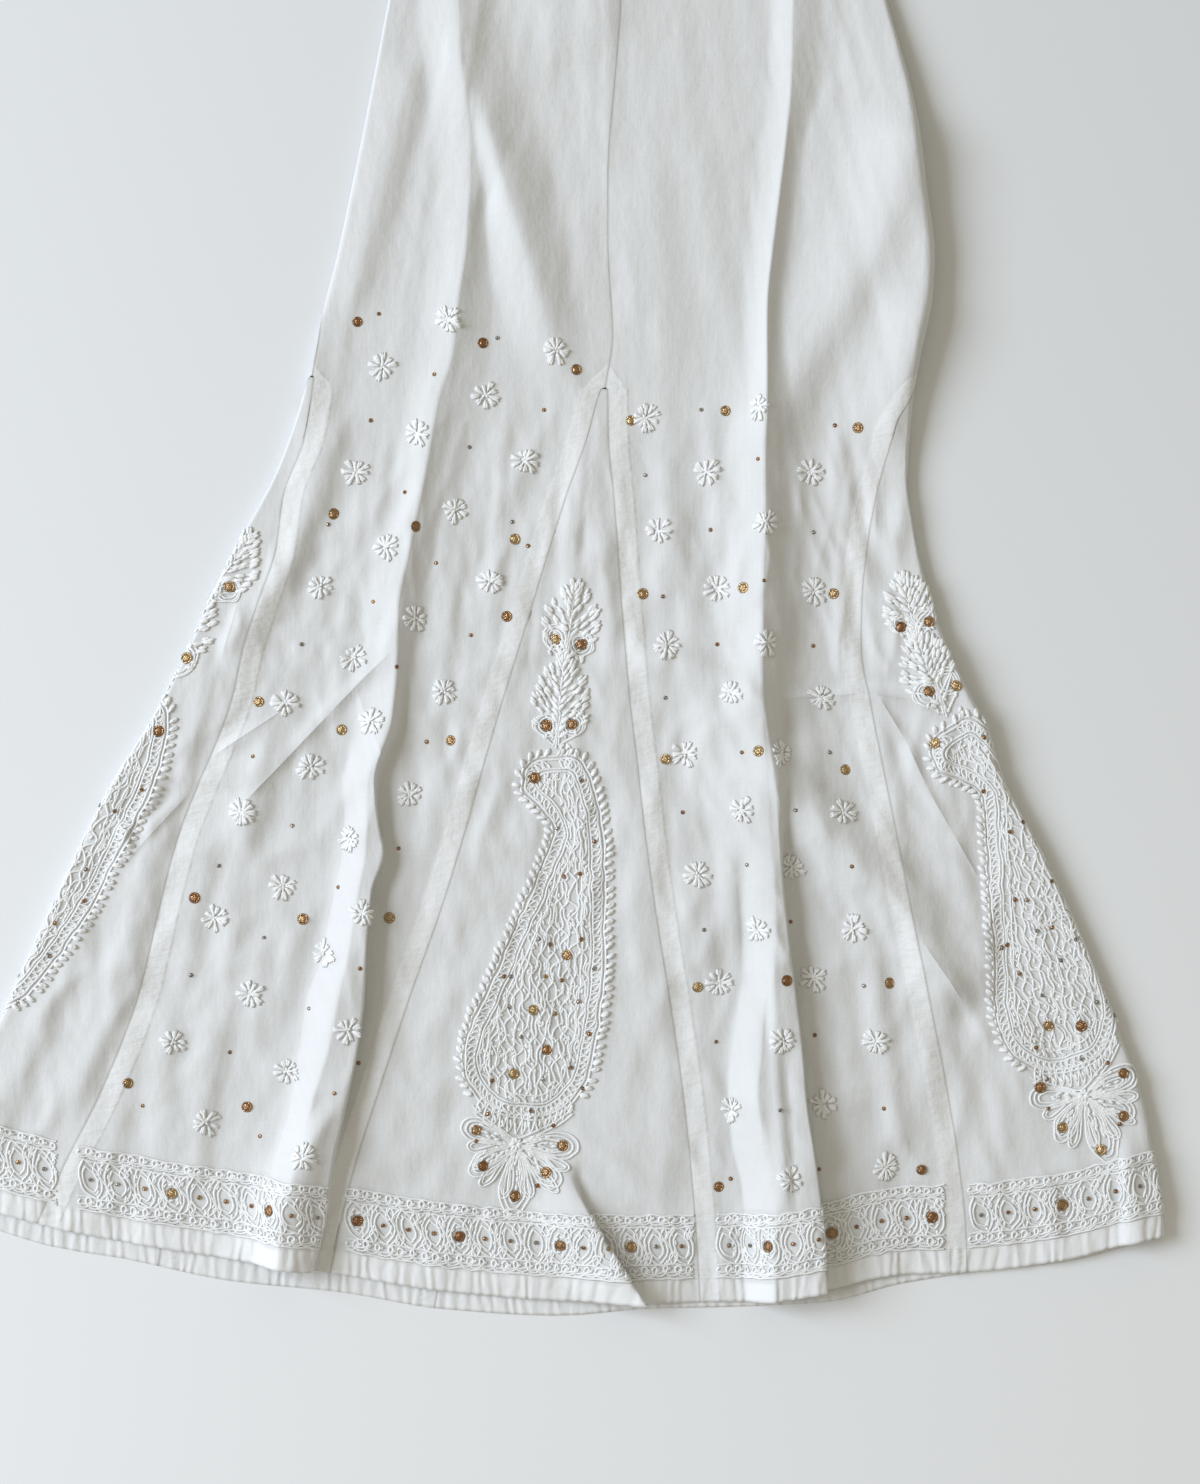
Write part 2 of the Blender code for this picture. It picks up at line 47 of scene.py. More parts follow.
# All lengths are millimetres on the skirt: x or u across from the centre seam and
# drop down from the waist. u follows the cloth, so it goes on round the edge rolls.
# rowCounts are the rows above the tips of the godets, below them and over the border;
# a pair such as sideSeamJoin is where a change starts and how far it takes.
lay = {
    "originX": 45.0, "originDrop": 532.7,
    "thickness": 0.6, "topMiddle": 3.8, "underMiddle": 0.35,
    "rollShare": 0.27, "leastRoll": 2.0, "sideSeamTurn": 0.62, "edgeReach": (34, 44), "lowest": 2.4,
    "lastDrop": 1080, "bandDrop": 35.0, "bandGap": 0.2,
    "apexShare": 0.352, "apexDrop": 355.0, "godetJoin": 45.0, "tipWidth": 3.0,
    "sideSeamJoin": (285, 55), "seamGap": 0.05, "seamDip": 0.1, "seamDipReach": 0.9,
    "foldFade": 40, "creaseFade": 35,
    "rowCounts": (84, 172, 26), "borderTop": 66.0,
    "seed": 7,
}

# drop, left edge, right edge, lift of the left edge, lift of the right edge
outlineRows = [
    (0, -150, 187, 2, 3), (79, -165, 209, 2, 7), (163, -181, 231, 2, 14),
    (217, -192, 238, 2, 18), (273, -204, 244.5, 2, 20.5), (300, -211, 243, 2, 19.5),
    (346, -223, 234, 3, 15), (379, -230, 228.5, 3, 11), (435, -250, 225, 3, 7),
    (476, -272, 230, 4, 6), (529, -298, 242, 4, 8.5), (574, -319, 259, 4, 12),
    (621, -343, 282, 4, 12.5), (664, -370, 296, 4, 11), (721, -399, 326, 4, 9),
    (829, -449, 374, 4, 8), (910, -487, 403, 4, 8), (952, -505, 410, 4, 9),
    (980, -512, 415, 4, 10), (1080, -514, 420, 4, 10),
]

# x, hem of the upper layer, hem of the lower layer
hemRows = [
    (-520, 972, 975), (-456, 989, 1003), (-410, 1001, 1016), (-370, 1009, 1022),
    (-283, 1023, 1040), (-204, 1034, 1048), (-124, 1047, 1061), (-38, 1054, 1066),
    (27, 1056, 1061), (102, 1055, 1059), (163, 1046, 1056), (219, 1035, 1042),
    (271, 1033, 1034), (342, 1024, 1026), (390, 1011, 1014), (426, 1003, 1004),
]

# drop, then the x of each seam on the upper layer from left to right
frontSeamRows = [
    (300, -209.6, -2, -2, 224), (361, -221.6, -2, -2, 224), (380, -224, -7, -1.5, 220.5),
    (408, -229, -14.5, -1, 214), (451, -245, -30, 3, 202.5),
    (492, -250.5, -43, 6, 195.5), (528, -262.5, -54, 8.5, 192), (564, -274.5, -65, 11.5, 191.5),
    (604, -283.5, -77.5, 15, 198), (650, -301.5, -91, 20.5, 207), (700, -322, -105, 26, 217),
    (760, -338, -123.5, 34, 228), (826, -354, -147, 44.5, 242), (896, -381, -170, 54.5, 256),
    (952, -409, -188, 60.5, 265), (1000, -431, -200, 64.5, 270), (1060, -450, -212, 68, 272),
]

# drop, x of the centre front seam above its godet
centreSeamRows = [(0, 10), (79, 9.5), (129, 6), (212, 0), (262, 0), (330, 3.5), (369, -2)]

# drop, then the x of each seam on the lower layer from left to right
backSeamRows = [(369, -226, -2, 2, 223), (700, -300, -64, 64, 268), (1080, -345, -134, 134, 318)]

# drop, x of the crest, height, width of the flat top, of the left and of the right flank,
# lean for each millimetre of height, and 1 for a sharply pressed crest
foldRows = {
    "left": [
        (20, -114, 3, 0, 32, 30, 0, 0.2), (79, -112, 8.5, 0, 34, 38, 0, 0.3),
        (124, -110, 11, 0, 30, 40, 0, 0.3), (154, -106, 9.5, 0, 30, 44, 0, 0.3),
        (185, -103, 7.5, 0, 30, 36, 0, 0.3),
        (214, -103, 7, 0, 28, 22, 0, 0.4), (240, -105, 7, 0, 28, 14, 0, 0.4),
        (266, -106.5, 8, 0, 30, 18, 0, 0.5),
        (304, -112, 9, 0, 32, 26, 0, 0.6), (341, -116, 8, 0, 32, 30, 0, 0.6),
        (379, -127, 9.5, 0, 32, 36, 0, 0.7), (435, -137, 10.5, 0, 30, 36, 0, 0.7),
        (492, -149, 11, 0, 30, 30, 0, 0.7), (535, -157, 11.5, 0, 26, 26, 0.1, 0.6),
        (575, -158, 11, 0, 26, 18, 0.3, 0.5), (620, -162, 12, 1, 22, 16, 0.5, 0.4),
        (664, -175, 12.5, 4, 14, 12, 0.6, 0.3), (697, -172, 13, 8, 8, 11, 0.8, 0.2),
        (718, -168, 14, 13, 8, 11, 0.8, 0.2), (746, -177, 15, 9, 8, 11, 0.8, 0.1),
        (791, -181, 17, 12, 9, 11, 0.75, 0.1), (829, -183, 18, 18, 14, 11, 0.7, 0),
        (866, -188, 18, 20, 12, 11, 0.7, 0), (904, -196, 15.5, 24, 9, 11, 0.7, 0),
        (941, -205, 11.5, 24, 14, 11, 0.7, 0), (979, -211.5, 10.5, 27, 16, 11, 0.7, 0),
        (1016, -219.5, 10.5, 26, 16, 11, 0.7, 0), (1060, -231, 10, 26, 16, 11, 0.7, 0),
    ],
    "diagonal": [
        (140, -96, 0, 0, 14, 34, 0, 0.2), (169, -90, 3.5, 0, 14, 42, 0, 0.2),
        (191, -84, 8, 0, 16, 44, 0, 0.2), (214, -78.5, 10.5, 0, 18, 44, 0, 0.2),
        (240, -71, 11, 0, 22, 42, 0, 0.2), (266, -62, 10.5, 0, 30, 38, 0, 0.2),
        (304, -51, 9, 0, 36, 32, 0, 0.2), (341, -41, 4.5, 0, 34, 26, 0, 0.2),
        (375, -29, 1.5, 0, 30, 22, 0, 0.1),
        (400, -20, 0, 0, 30, 20, 0, 0),
    ],
    "right": [
        (0, 141, 5, 0, 20, 32, 0, 0.4), (79, 138.5, 7.5, 0, 18, 36, 0, 0.4),
        (140, 137, 7.5, 0, 20, 26, 0, 0.6), (190, 132.5, 8, 0, 22, 15, 0, 0.9),
        (239, 126.5, 9, 0, 22, 14, 0, 0.9), (313, 119, 10, 0, 20, 13, 0, 1),
        (370, 118.5, 11.5, 0, 23, 20, 0, 1), (420, 117, 16.5, 0, 32, 34, 0.1, 0.6),
        (460, 117, 18.5, 0, 32, 38, 0.1, 0.5),
        (532, 115, 19, 0, 34, 40, 0.1, 0.45), (592, 115, 17.5, 0, 34, 30, 0.15, 0.5),
        (628, 119.5, 15.5, 4, 38, 23, 0.3, 0.5), (676, 125, 14, 6, 34, 20, 0.5, 0.3),
        (740, 130, 13, 6, 20, 12, 0.7, 0.3), (800, 136.5, 15, 12, 14, 11, 0.75, 0.2),
        (829, 140, 17, 22, 10, 11, 0.7, 0.1), (866, 144, 17, 29, 12, 11, 0.7, 0),
        (904, 147, 20, 35, 9, 11, 0.65, 0), (941, 152.5, 23, 33, 12, 11, 0.61, 0),
        (979, 157.5, 24, 31, 11, 11, 0.58, 0), (1016, 160, 23.5, 36, 10, 11, 0.58, 0),
        (1060, 164, 22, 38, 10, 11, 0.57, 0),
    ],
    "centre": [
        (944, -34, 0.3, 0, 20, 16, 0, 0), (962, -29, 5, 0, 24, 12, 0.6, 0),
        (989, -14, 14, 0, 33, 11, 0.84, 0), (1009, -2.6, 18.5, 0, 38, 11, 0.74, 0),
        (1054, 27, 21, 0, 42, 11, 0.63, 0), (1070, 37, 21, 0, 42, 11, 0.63, 0),
    ],
}

# Soft ridges, or troughs where the height is below 0: height, reach to the left and to
# the right of the crest, and the line of the crest
creaseRows = [
    (3.5, 16, 14, [(-150, 109), (-154, 146), (-166, 191), (-182, 266), (-194, 326)]),
    (5, 26, 22, [(-6, 19), (-5, 71), (-8, 125)]),
    (-2.5, 22, 26, [(-44, 120), (-36, 165), (-28, 205), (-20, 250)]),
    (2.2, 14, 18, [(-45, 11), (-47, 79), (-36, 124)]),
    (8, 30, 20, [(226, 154), (223, 188), (212, 229), (198, 266), (176, 304), (155, 338), (138, 366),
                 (122, 395), (110, 425)]),
    (6, 26, 12, [(240, 289), (227, 341), (215, 380), (203, 431)]),
    (1.6, 12, 10, [(69, 169), (75, 251), (86, 326)]),
    (1.2, 10, 12, [(35, 191), (42, 281), (45, 364)]),
    (1.0, 8, 6, [(168, 56), (166, 145)]),
    (0.8, 8, 6, [(60, 56), (60, 159)]),
    (1.6, 10, 16, [(21, 191), (18, 259), (24, 334)]),
    (5, 14, 11, [(-197, 379), (-205, 409), (-220, 454), (-238, 499), (-260, 532),
                 (-276, 574), (-302, 635)]),
    (2, 9, 9, [(-218, 326), (-225, 394), (-234, 454)]),
    (4, 10, 12, [(-249, 619), (-263, 656), (-274, 705), (-278, 739)]),
    (2.6, 5, 5, [(-162, 568), (-198, 601), (-232, 635), (-260, 664)]),
    (1.8, 6, 4, [(-255, 620), (-276, 635), (-300, 650)]),
    (-2, 6, 6, [(-232, 596), (-208, 630), (-189, 673)]),
    (1.6, 5, 5, [(-186, 595), (-177, 626), (-174, 664)]),
    (1.4, 6, 6, [(-174, 570), (-192, 580), (-207, 596)]),
    (-1.8, 5, 9, [(-265, 503), (-231, 508), (-192, 524), (-162, 540)]),
    (-2.2, 5, 10, [(-306, 542), (-264, 551), (-224, 557), (-160, 562)]),
    (1.3, 6, 5, [(-160, 559), (-118, 566), (-66, 571), (-6, 559)]),
    (1.6, 12, 9, [(-96, 596), (-104, 649), (-110, 701)]),
    (1.6, 10, 8, [(-45, 394), (-66, 439), (-87, 469)]),
    (1.4, 9, 8, [(-77, 559), (-88, 604), (-96, 649)]),
    (1.8, 9, 8, [(-141, 604), (-132, 649), (-117, 688)]),
    (3.2, 30, 35, [(-303, 650), (-306, 672)]),
    (2.4, 14, 12, [(-306, 679), (-314, 739), (-322, 799)]),
    (3, 12, 9, [(-260, 776), (-262, 829), (-268, 885)]),
    (2.8, 14, 9, [(-328, 818), (-330, 874), (-336, 941)]),
    (2.2, 9, 9, [(-285, 724), (-282, 776), (-290, 844), (-302, 904)]),
    (2, 9, 7, [(-237, 739), (-238, 799), (-249, 866)]),
    (1.8, 9, 7, [(-295, 859), (-302, 919), (-312, 979)]),
    (1.8, 8, 8, [(-358, 889), (-372, 941), (-382, 990)]),
    (1.4, 6, 6, [(-268, 896), (-276, 941), (-282, 990)]),
    (3.2, 20, 9, [(-333, 679), (-340, 724), (-354, 784), (-368, 829), (-388, 874), (-414, 926)]),
    (2.6, 4, 4, [(-310, 667), (-336, 692), (-360, 719)]),
    (2.4, 5, 4, [(-368, 683), (-362, 706), (-358, 728)]),
    (3, 12, 10, [(-297, 559), (-309, 611), (-327, 664)]),
    (2.4, 16, 10, [(-411, 814), (-428, 859), (-448, 904)]),
    (3, 10, 9, [(-268, 529), (-278, 551), (-288, 575)]),
    (2, 7, 9, [(-387, 754), (-404, 806), (-426, 851)]),
    (1.6, 8, 8, [(-14, 409), (-27, 469), (-39, 529)]),
    (1.5, 8, 8, [(-2, 431), (-3, 499), (-2, 559)]),
    (1.8, 12, 9, [(-94, 694), (-105, 754), (-126, 814)]),
    (1.4, 14, 14, [(-116, 799), (-121, 866), (-126, 934)]),
    (1.6, 10, 9, [(-150, 874), (-165, 934), (-171, 979)]),
    (2.4, 10, 9, [(42, 791), (45, 859), (48, 926), (52, 971)]),
    (2.4, 8, 7, [(-32, 925), (2, 949), (45, 976)]),
    (1.4, 8, 8, [(18, 724), (24, 791), (28, 866)]),
    (-1.4, 10, 9, [(-104, 874), (-120, 926), (-126, 971)]),
    (8, 16, 13, [(2, 560), (26, 568.5), (46, 574.5), (69, 583.5), (91, 592), (106, 604),
                 (128, 618)]),
    (-2.6, 4, 9, [(124, 594), (182, 591), (242, 595)]),
    (2.4, 7, 4, [(124, 602), (182, 599), (223, 602), (268, 605)]),
    (6, 12, 21, [(74, 596), (79, 634), (87, 679), (93, 724), (92, 768), (84, 800)]),
    (2.2, 9, 9, [(39, 431), (48, 484), (51, 536)]),
    (1.4, 10, 8, [(70, 364), (79, 424), (90, 484)]),
    (12, 22, 25, [(122, 628), (130, 656), (143, 684), (165, 706), (204, 739), (230, 772),
                  (249, 806), (268, 845)]),
    (2.2, 10, 9, [(178, 379), (172, 424), (176, 469)]),
    (0.9, 5, 5, [(185, 424), (175, 484), (172, 536), (175, 581)]),
    (2.2, 9, 9, [(204, 604), (210, 649), (222, 701)]),
    (2.6, 10, 9, [(196, 776), (207, 844), (216, 904), (224, 964)]),
    (2.2, 9, 8, [(230, 821), (242, 881), (252, 949)]),
    (2.2, 8, 9, [(114, 754), (117, 814), (123, 874)]),
    (-2.4, 4, 5, [(98, 703), (101, 766), (105, 836), (108, 874)]),
    (2.4, 4, 4, [(109, 780), (112, 836), (113.5, 889), (116, 949), (120, 994)]),
    (-1.8, 4, 4, [(120, 864), (122, 934), (125, 1000)]),
    (4.5, 5, 22, [(157, 950), (159.5, 985)]),
    (5.5, 4, 18, [(147, 895), (153, 941), (158, 979), (160.5, 1016), (164, 1056)]),
    (5, 4, 18, [(-30, 968), (-14, 989), (-2.6, 1009), (12, 1031), (27, 1054), (37, 1070)]),
    (1.8, 6, 6, [(74, 874), (80, 890), (86, 907)]),
    (2.2, 12, 9, [(62, 724), (72, 776), (81, 829)]),
    (1.6, 8, 7, [(95, 829), (98, 889), (99, 934)]),
    (14.5, 12, 25, [(-219, 902), (-231, 936), (-242, 964), (-251, 992), (-252, 1024), (-259, 1060),
                    (-269, 1100)]),
    (1.8, 24, 15, [(228, 626), (241, 656), (256, 716), (278, 784), (286, 821)]),
    (1.6, 5, 4, [(205, 602), (224, 636), (240, 672), (256, 702)]),
    (2.2, 5, 4, [(244, 791), (268, 830), (296, 878)]),
    (2.8, 10, 10, [(286, 874), (294, 926), (302, 971)]),
    (2.2, 9, 8, [(268, 874), (279, 934), (294, 994)]),
    (2.2, 9, 8, [(320, 941), (332, 986), (338, 1020)]),
    (2.6, 8, 8, [(223, 439), (216, 484), (212, 521)]),
    (5.5, 3.5, 13, [(388, 918), (387, 950), (389, 985), (392, 1040)]),
    (1.6, 12, 14, [(338, 889), (347, 941), (357, 1001)]),
]

# Sharp pressed creases, too narrow for the mesh: height, reach and line
sharpCreases = [
    (1.6, 3.4, [(-165, 568), (-208, 613), (-272, 680)]),
    (1.3, 2.8, [(-242, 610), (-297, 646)]),
    (0.9, 2.8, [(-188, 595), (-172, 661)]),
    (1.7, 3.0, [(130, 603), (190, 599), (226, 603)]),
    (1.2, 2.6, [(201, 598), (223, 634), (239, 670), (258, 703), (279, 739)]),
    (1.1, 2.6, [(234, 783), (266, 830)]),
    (0.9, 2.6, [(-276, 526), (-290, 574)]),
    (-0.5, 3.0, [(-36, 127), (182, 131)]),
    (0.9, 3.0, [(-366, 730), (-314, 673)]),
]


def ease(t):
    t = np.clip(t, 0, 1)
    return t * t * (3 - 2 * t)


def passed(value, start, length):
    # 0 before the start, 1 once the length is passed, soft between them
    return ease((value - start) / length)


def together(*values):
    # separate coordinates as points
    return np.stack(np.broadcast_arrays(*values), axis=-1)


def unit(vectors):
    return vectors / np.linalg.norm(vectors, axis=-1, keepdims=True)


def heading(angle):
    return np.array([math.cos(angle), math.sin(angle)])


def quarterTurn(way):
    return np.array([-way[1], way[0]])


def rowCurves(names, rows):
    # every column of a table as a smooth curve over the first one
    table = np.array(rows, float)
    xs = table[:, 0]
    made = SimpleNamespace()
    for column, name in enumerate(names.split(), 1):
        ys = table[:, column]
        slopes = np.diff(ys) / np.diff(xs)
        product = slopes[1:] * slopes[:-1]
        total = slopes[1:] + slopes[:-1]
        inner = np.where(product > 0, 2 * product / np.where(product > 0, total, 1), 0)
        tangents = np.concatenate([slopes[:1], inner, slopes[-1:]])

        where = np.linspace(xs[0], xs[-1], 1500)
        i = np.clip(np.searchsorted(xs, where) - 1, 0, len(xs) - 2)
        step = xs[i + 1] - xs[i]
        t = (where - xs[i]) / step
        dense = (ys[i] * (1 + 2 * t) * (1 - t) ** 2 + ys[i + 1] * t * t * (3 - 2 * t)
                 + tangents[i] * step * t * (1 - t) ** 2
                 - tangents[i + 1] * step * t * t * (1 - t))
        setattr(made, name, lambda at, where=where, dense=dense: np.interp(at, where, dense))
    return made


outline = rowCurves("left right leftLift rightLift", outlineRows)
hems = rowCurves("front back", hemRows)
frontSeams = rowCurves("left centreLeft centreRight right", frontSeamRows)
centreSeam = rowCurves("x", centreSeamRows)
backSeams = rowCurves("left centreLeft centreRight right", backSeamRows)
folds = {name: rowCurves("edge height band rise fall lean crisp", rows)
         for name, rows in foldRows.items()}
sides = {"left": -1, "right": 1}
noiseValues = {}


def softNoise(a, b, seed):
    # smooth value noise from -1 to 1
    if seed not in noiseValues:
        noiseValues[seed] = np.random.default_rng(seed).uniform(-1, 1, (64, 64))
    values = noiseValues[seed]
    a, b = np.asarray(a, float), np.asarray(b, float)
    i, j = np.floor(a).astype(int), np.floor(b).astype(int)
    s, t = ease(a - i), ease(b - j)
    near = values[i % 64, j % 64] * (1 - s) + values[(i + 1) % 64, j % 64] * s
    far = values[i % 64, (j + 1) % 64] * (1 - s) + values[(i + 1) % 64, (j + 1) % 64] * s
    return near * (1 - t) + far * t


def crest(fold, drop):
    return fold.edge(drop) - fold.lean(drop) * fold.height(drop)


def foldShape(name, u, drop):
    # how high one fold stands here, and how far it leans over
    fold = folds[name]
    top, band, rise, fall, crisp = (
        crest(fold, drop), fold.band(drop), fold.rise(drop), fold.fall(drop), fold.crisp(drop))
    up = np.clip((u - (top - band - rise)) / rise, 0, 1)
    down = np.clip(1 - (u - top) / fall, 0, 1)
    up = (1 - crisp) * ease(up) + crisp * up ** 2
    down = (1 - crisp) * ease(down) + crisp * down ** 2
    begun = ease((drop - foldRows[name][0][0]) / lay["foldFade"] + 0.5)
    height = fold.height(drop) * up * down * begun
    return height, fold.lean(drop) * height


def creaseHeight(u, drop):
    # all the soft ridges together, each fading out at its ends
    u, drop = np.broadcast_arrays(u, drop)
    total = np.zeros(u.shape)
    for height, left, right, crestLine in creaseRows:
        line = np.array(crestLine, float)
        room = 2.6 * max(left, right)
        low, high = line.min(axis=0) - room, line.max(axis=0) + room
        near = (u > low[0]) & (u < high[0]) & (drop > low[1]) & (drop < high[1])
        if not near.any():
            continue
        step = np.diff(line, axis=0)
        length = np.linalg.norm(step, axis=1)
        before = np.concatenate([[0], np.cumsum(length)])
        a, b = u[near][:, None] - line[:-1, 0], drop[near][:, None] - line[:-1, 1]
        share = np.clip((a * step[:, 0] + b * step[:, 1]) / length ** 2, 0, 1)
        offX, offDrop = a - share * step[:, 0], b - share * step[:, 1]
        away = np.hypot(offX, offDrop)
        pick = away.argmin(axis=1)[:, None]
        away = np.take_along_axis(away, pick, 1)[:, 0]
        along = np.take_along_axis(before[:-1] + share * length, pick, 1)[:, 0]
        turn = np.take_along_axis(a * step[:, 1] - b * step[:, 0], pick, 1)[:, 0]
        ends = min(0.45 * before[-1], lay["creaseFade"])
        fade = ease(along / ends) * ease((before[-1] - along) / ends)
        reach = np.where(turn > 0, right, left)
        total[near] += height * fade * np.exp(-(away / reach) ** 2)
    return total


# streaks: height, pitch across, pitch down, slant; creases the same; ruffle only near the hem
fine = {
    "edgeRoom": (4, 26), "lowerPart": (330, 190), "ruffleFrom": (900, 80),
    "fanAtWaist": 0.35, "streaksAbove": 0.4, "creasesAbove": 0.12,
    "streaks": [(1.0, 14, 110, 0), (1.7, 33, 150, 0), (0.35, 8, 40, 1 / 90)],
    "creases": [(2.6, 30, 46, 1 / 75, 3), (1.3, 19, 27, -1 / 50, 5)],
    "ruffle": (0.5, 11, 70, 4),
}


def fineHeight(u, drop):
    # the cloth's own small unevenness, fanning out with the flare
    away = passed(np.minimum(u - outline.left(drop), outline.right(drop) - u), *fine["edgeRoom"])
    fan = u / (fine["fanAtWaist"] + (1 - fine["fanAtWaist"]) * drop / 1000)

    def noise(across, down, slant, k):
        return softNoise(fan / across + drop * slant, drop / down, lay["seed"] + k)
    streaks = sum(height * noise(*pitch, k) for k, (height, *pitch) in enumerate(fine["streaks"]))
    creases = sum(height * (0.5 - np.abs(noise(*pitch))) for height, *pitch in fine["creases"])
    low = passed(drop, *fine["lowerPart"])
    streaks = streaks * (fine["streaksAbove"] + (1 - fine["streaksAbove"]) * low)
    creases = creases * (fine["creasesAbove"] + (1 - fine["creasesAbove"]) * low)
    height, across, down, k = fine["ruffle"]
    ruffle = (height * softNoise(u / across, drop / down, lay["seed"] + k)
              * passed(drop, *fine["ruffleFrom"]))
    return away * (streaks + creases + ruffle)


def layHeight(u, drop, finely=False):
    # height of the cloth's middle over the table, and how far its folds lean over
    height = lay["topMiddle"] + np.zeros(np.broadcast(u, drop).shape)
    for side, reach in zip(sides, lay["edgeReach"]):
        edge, lift = getattr(outline, side)(drop), getattr(outline, side + "Lift")(drop)
        height += lift * np.exp(-np.abs((u - edge) / reach) ** 1.5)
    lean = np.zeros_like(height)
    for name in folds:
        up, over = foldShape(name, u, drop)
        height, lean = height + up, lean + over
    height = height + creaseHeight(u, drop)
    if finely:
        height = height + fineHeight(u, drop)
    return np.maximum(height, lay["lowest"]), lean


def rollCurves(side):
    # where the cloth starts to turn under at each drop, and how far round that goes
    drops = np.linspace(0, lay["lastDrop"], lay["lastDrop"] + 1)
    edge = getattr(outline, side)(drops) - sides[side] * lay["thickness"] / 2
    height, _ = layHeight(edge, drops)
    depth = np.maximum(lay["rollShare"] * height, lay["leastRoll"])
    start = edge - sides[side] * depth
    top, _ = layHeight(start, drops)
    half = (top - lay["underMiddle"]) / 2
    length = math.pi * np.sqrt((depth ** 2 + half ** 2) / 2)
    return rowCurves("start depth half length", together(drops, start, depth, half, length))


rolls = {side: rollCurves(side) for side in sides}


def roll(side, drop):
    edge = rolls[side]
    return SimpleNamespace(start=edge.start(drop), depth=edge.depth(drop), half=edge.half(drop),
                           length=edge.length(drop))


def rollU(side, drop, share):
    edge = roll(side, drop)
    return edge.start + sides[side] * edge.length * share


def undersideU(side, x, drop):
    edge = roll(side, drop)
    return 2 * edge.start + sides[side] * edge.length - x


def rolledUnder(u, drop, x, z=0.0):
    # carries x and z on round the side rolls to the underside
    under = 0.0
    for side, sign in sides.items():
        edge = roll(side, drop)
        past = sign * (u - edge.start)
        turn = np.clip(past / edge.length, 0, 1)
        rolledX = edge.start + sign * (edge.depth * np.sin(math.pi * turn)
                                       - np.maximum(past - edge.length, 0))
        rolledZ = lay["underMiddle"] + edge.half * (1 + np.cos(math.pi * turn))
        x, z = np.where(turn > 0, rolledX, x), np.where(turn > 0, rolledZ, z)
        under = np.maximum(under, turn)
    return x, z, under


def planPlace(u, drop):
    # x of the cloth and how far it has turned under, without its height
    x = u + sum(foldShape(name, u, drop)[1] for name in folds)
    x, _, under = rolledUnder(u, drop, x)
    return x, under


def surface(u, drop, finely=False):
    # x and z of the cloth's middle, and how far it has turned under
    height, lean = layHeight(u, drop, finely)
    return rolledUnder(u, drop, u + lean, height)


def hemDrop(u, drop):
    # where the hem of the upper layer, or of the lower one once turned under, is
    x, under = planPlace(u, drop)
    return (1 - under) * hems.front(x) + under * hems.back(x)


def toRow(x, drop, z):
    return together(x + lay["originX"], lay["originDrop"] - drop, z) / 1000


def onCloth(u, drop, lift):
    # points lifted off the outer face, with the face's two directions and its normal
    def at(a, b):
        x, z, _ = surface(a, b, True)
        return toRow(x, b, z)
    here = at(u, drop)
    across = unit(at(u + 0.6, drop) - at(u - 0.6, drop))
    down = at(u, drop + 0.6) - at(u, drop - 0.6)
    normal = unit(np.cross(down, across))
    down = np.cross(across, normal)
    lifted = here + normal * (np.asarray(lift)[..., None] + lay["thickness"] / 2) / 1000
    return lifted, across, down, normal


def planU(x, drop):
    # the u that shows at a plan x
    x, drop = np.asarray(x, float), np.asarray(drop, float)
    u = x.copy()
    for _ in range(14):
        u = u - 0.6 * (planPlace(u, drop)[0] - x)
    return u


def runOf(u, drop):
    # how far along the cloth each of these places lies
    x, z, _ = surface(u, drop)
    return np.concatenate([[0], np.cumsum(np.hypot(np.diff(x), np.diff(z)))])


def rowShares():
    # the rows of the cloth from the waist to the hem, closer together over the hem
    above, below, last = lay["rowCounts"]
    upper = np.insert(np.linspace(0, lay["apexShare"], above), -1, lay["apexShare"] - 0.0015)
    lower = np.linspace(lay["apexShare"], 1, below)[1:]
    share = np.concatenate([upper, lower, np.ones(last)])
    overHem = np.full(len(share), lay["borderTop"] + 2)
    overHem[-last:] = np.linspace(lay["borderTop"], 0, last)
    return SimpleNamespace(share=share, overHem=overHem, split=np.arange(len(share)) >= above)


def rowDrop(rows, u, drop):
    # the drop of every row, found from the hem below it
    top = lay["bandDrop"] + lay["bandGap"]
    share, overHem = (values.reshape(-1, *(1 for _ in u.shape[1:]))
                      for values in (rows.share, rows.overHem))
    return top + (hemDrop(u, drop) - overHem - top) * share


def onLine(line, rows):
    # a seam's u and drop at every row
    drop = lay["bandDrop"] + 930 * rows.share
    for _ in range(8):
        drop = rowDrop(rows, line(drop, rows.split), drop)
    return line(drop, rows.split), drop


halfGap = lay["seamGap"] / 2


def centreLine(sign, away=halfGap):
    # one side of the centre seam, and of the front godet below it
    godet = frontSeams.centreLeft if sign < 0 else frontSeams.centreRight

    def line(drop, split):
        lower = godet(drop) + sign * lay["tipWidth"] / 2
        return np.where(split, lower, centreSeam.x(drop)) + sign * away
    return line


def sideLine(side, seams, away):
    # the side seam, and below its end the front or back seam of the side godet
    godet = getattr(seams, side)
    outward = sides[side] * (-1 if seams is frontSeams else 1)

    def line(drop, split):
        seam = rollU(side, drop, lay["sideSeamTurn"])
        if side == "left":
            share = passed(drop, *lay["sideSeamJoin"])
            seam = seam + (frontSeams.left(drop) - seam) * share
        goal = godet(drop) if seams is frontSeams else undersideU(side, godet(drop), drop)
        share = passed(drop, lay["apexDrop"], lay["godetJoin"])
        lower = seam + outward * lay["tipWidth"] / 2 + (goal - seam) * share
        return np.where(split, lower, seam) + outward * away
    return line


def backLine(side, name, shift):
    godet = getattr(backSeams, name)

    def line(drop, split):
        return undersideU(side, np.where(split, godet(drop), 0), drop) + shift
    return line


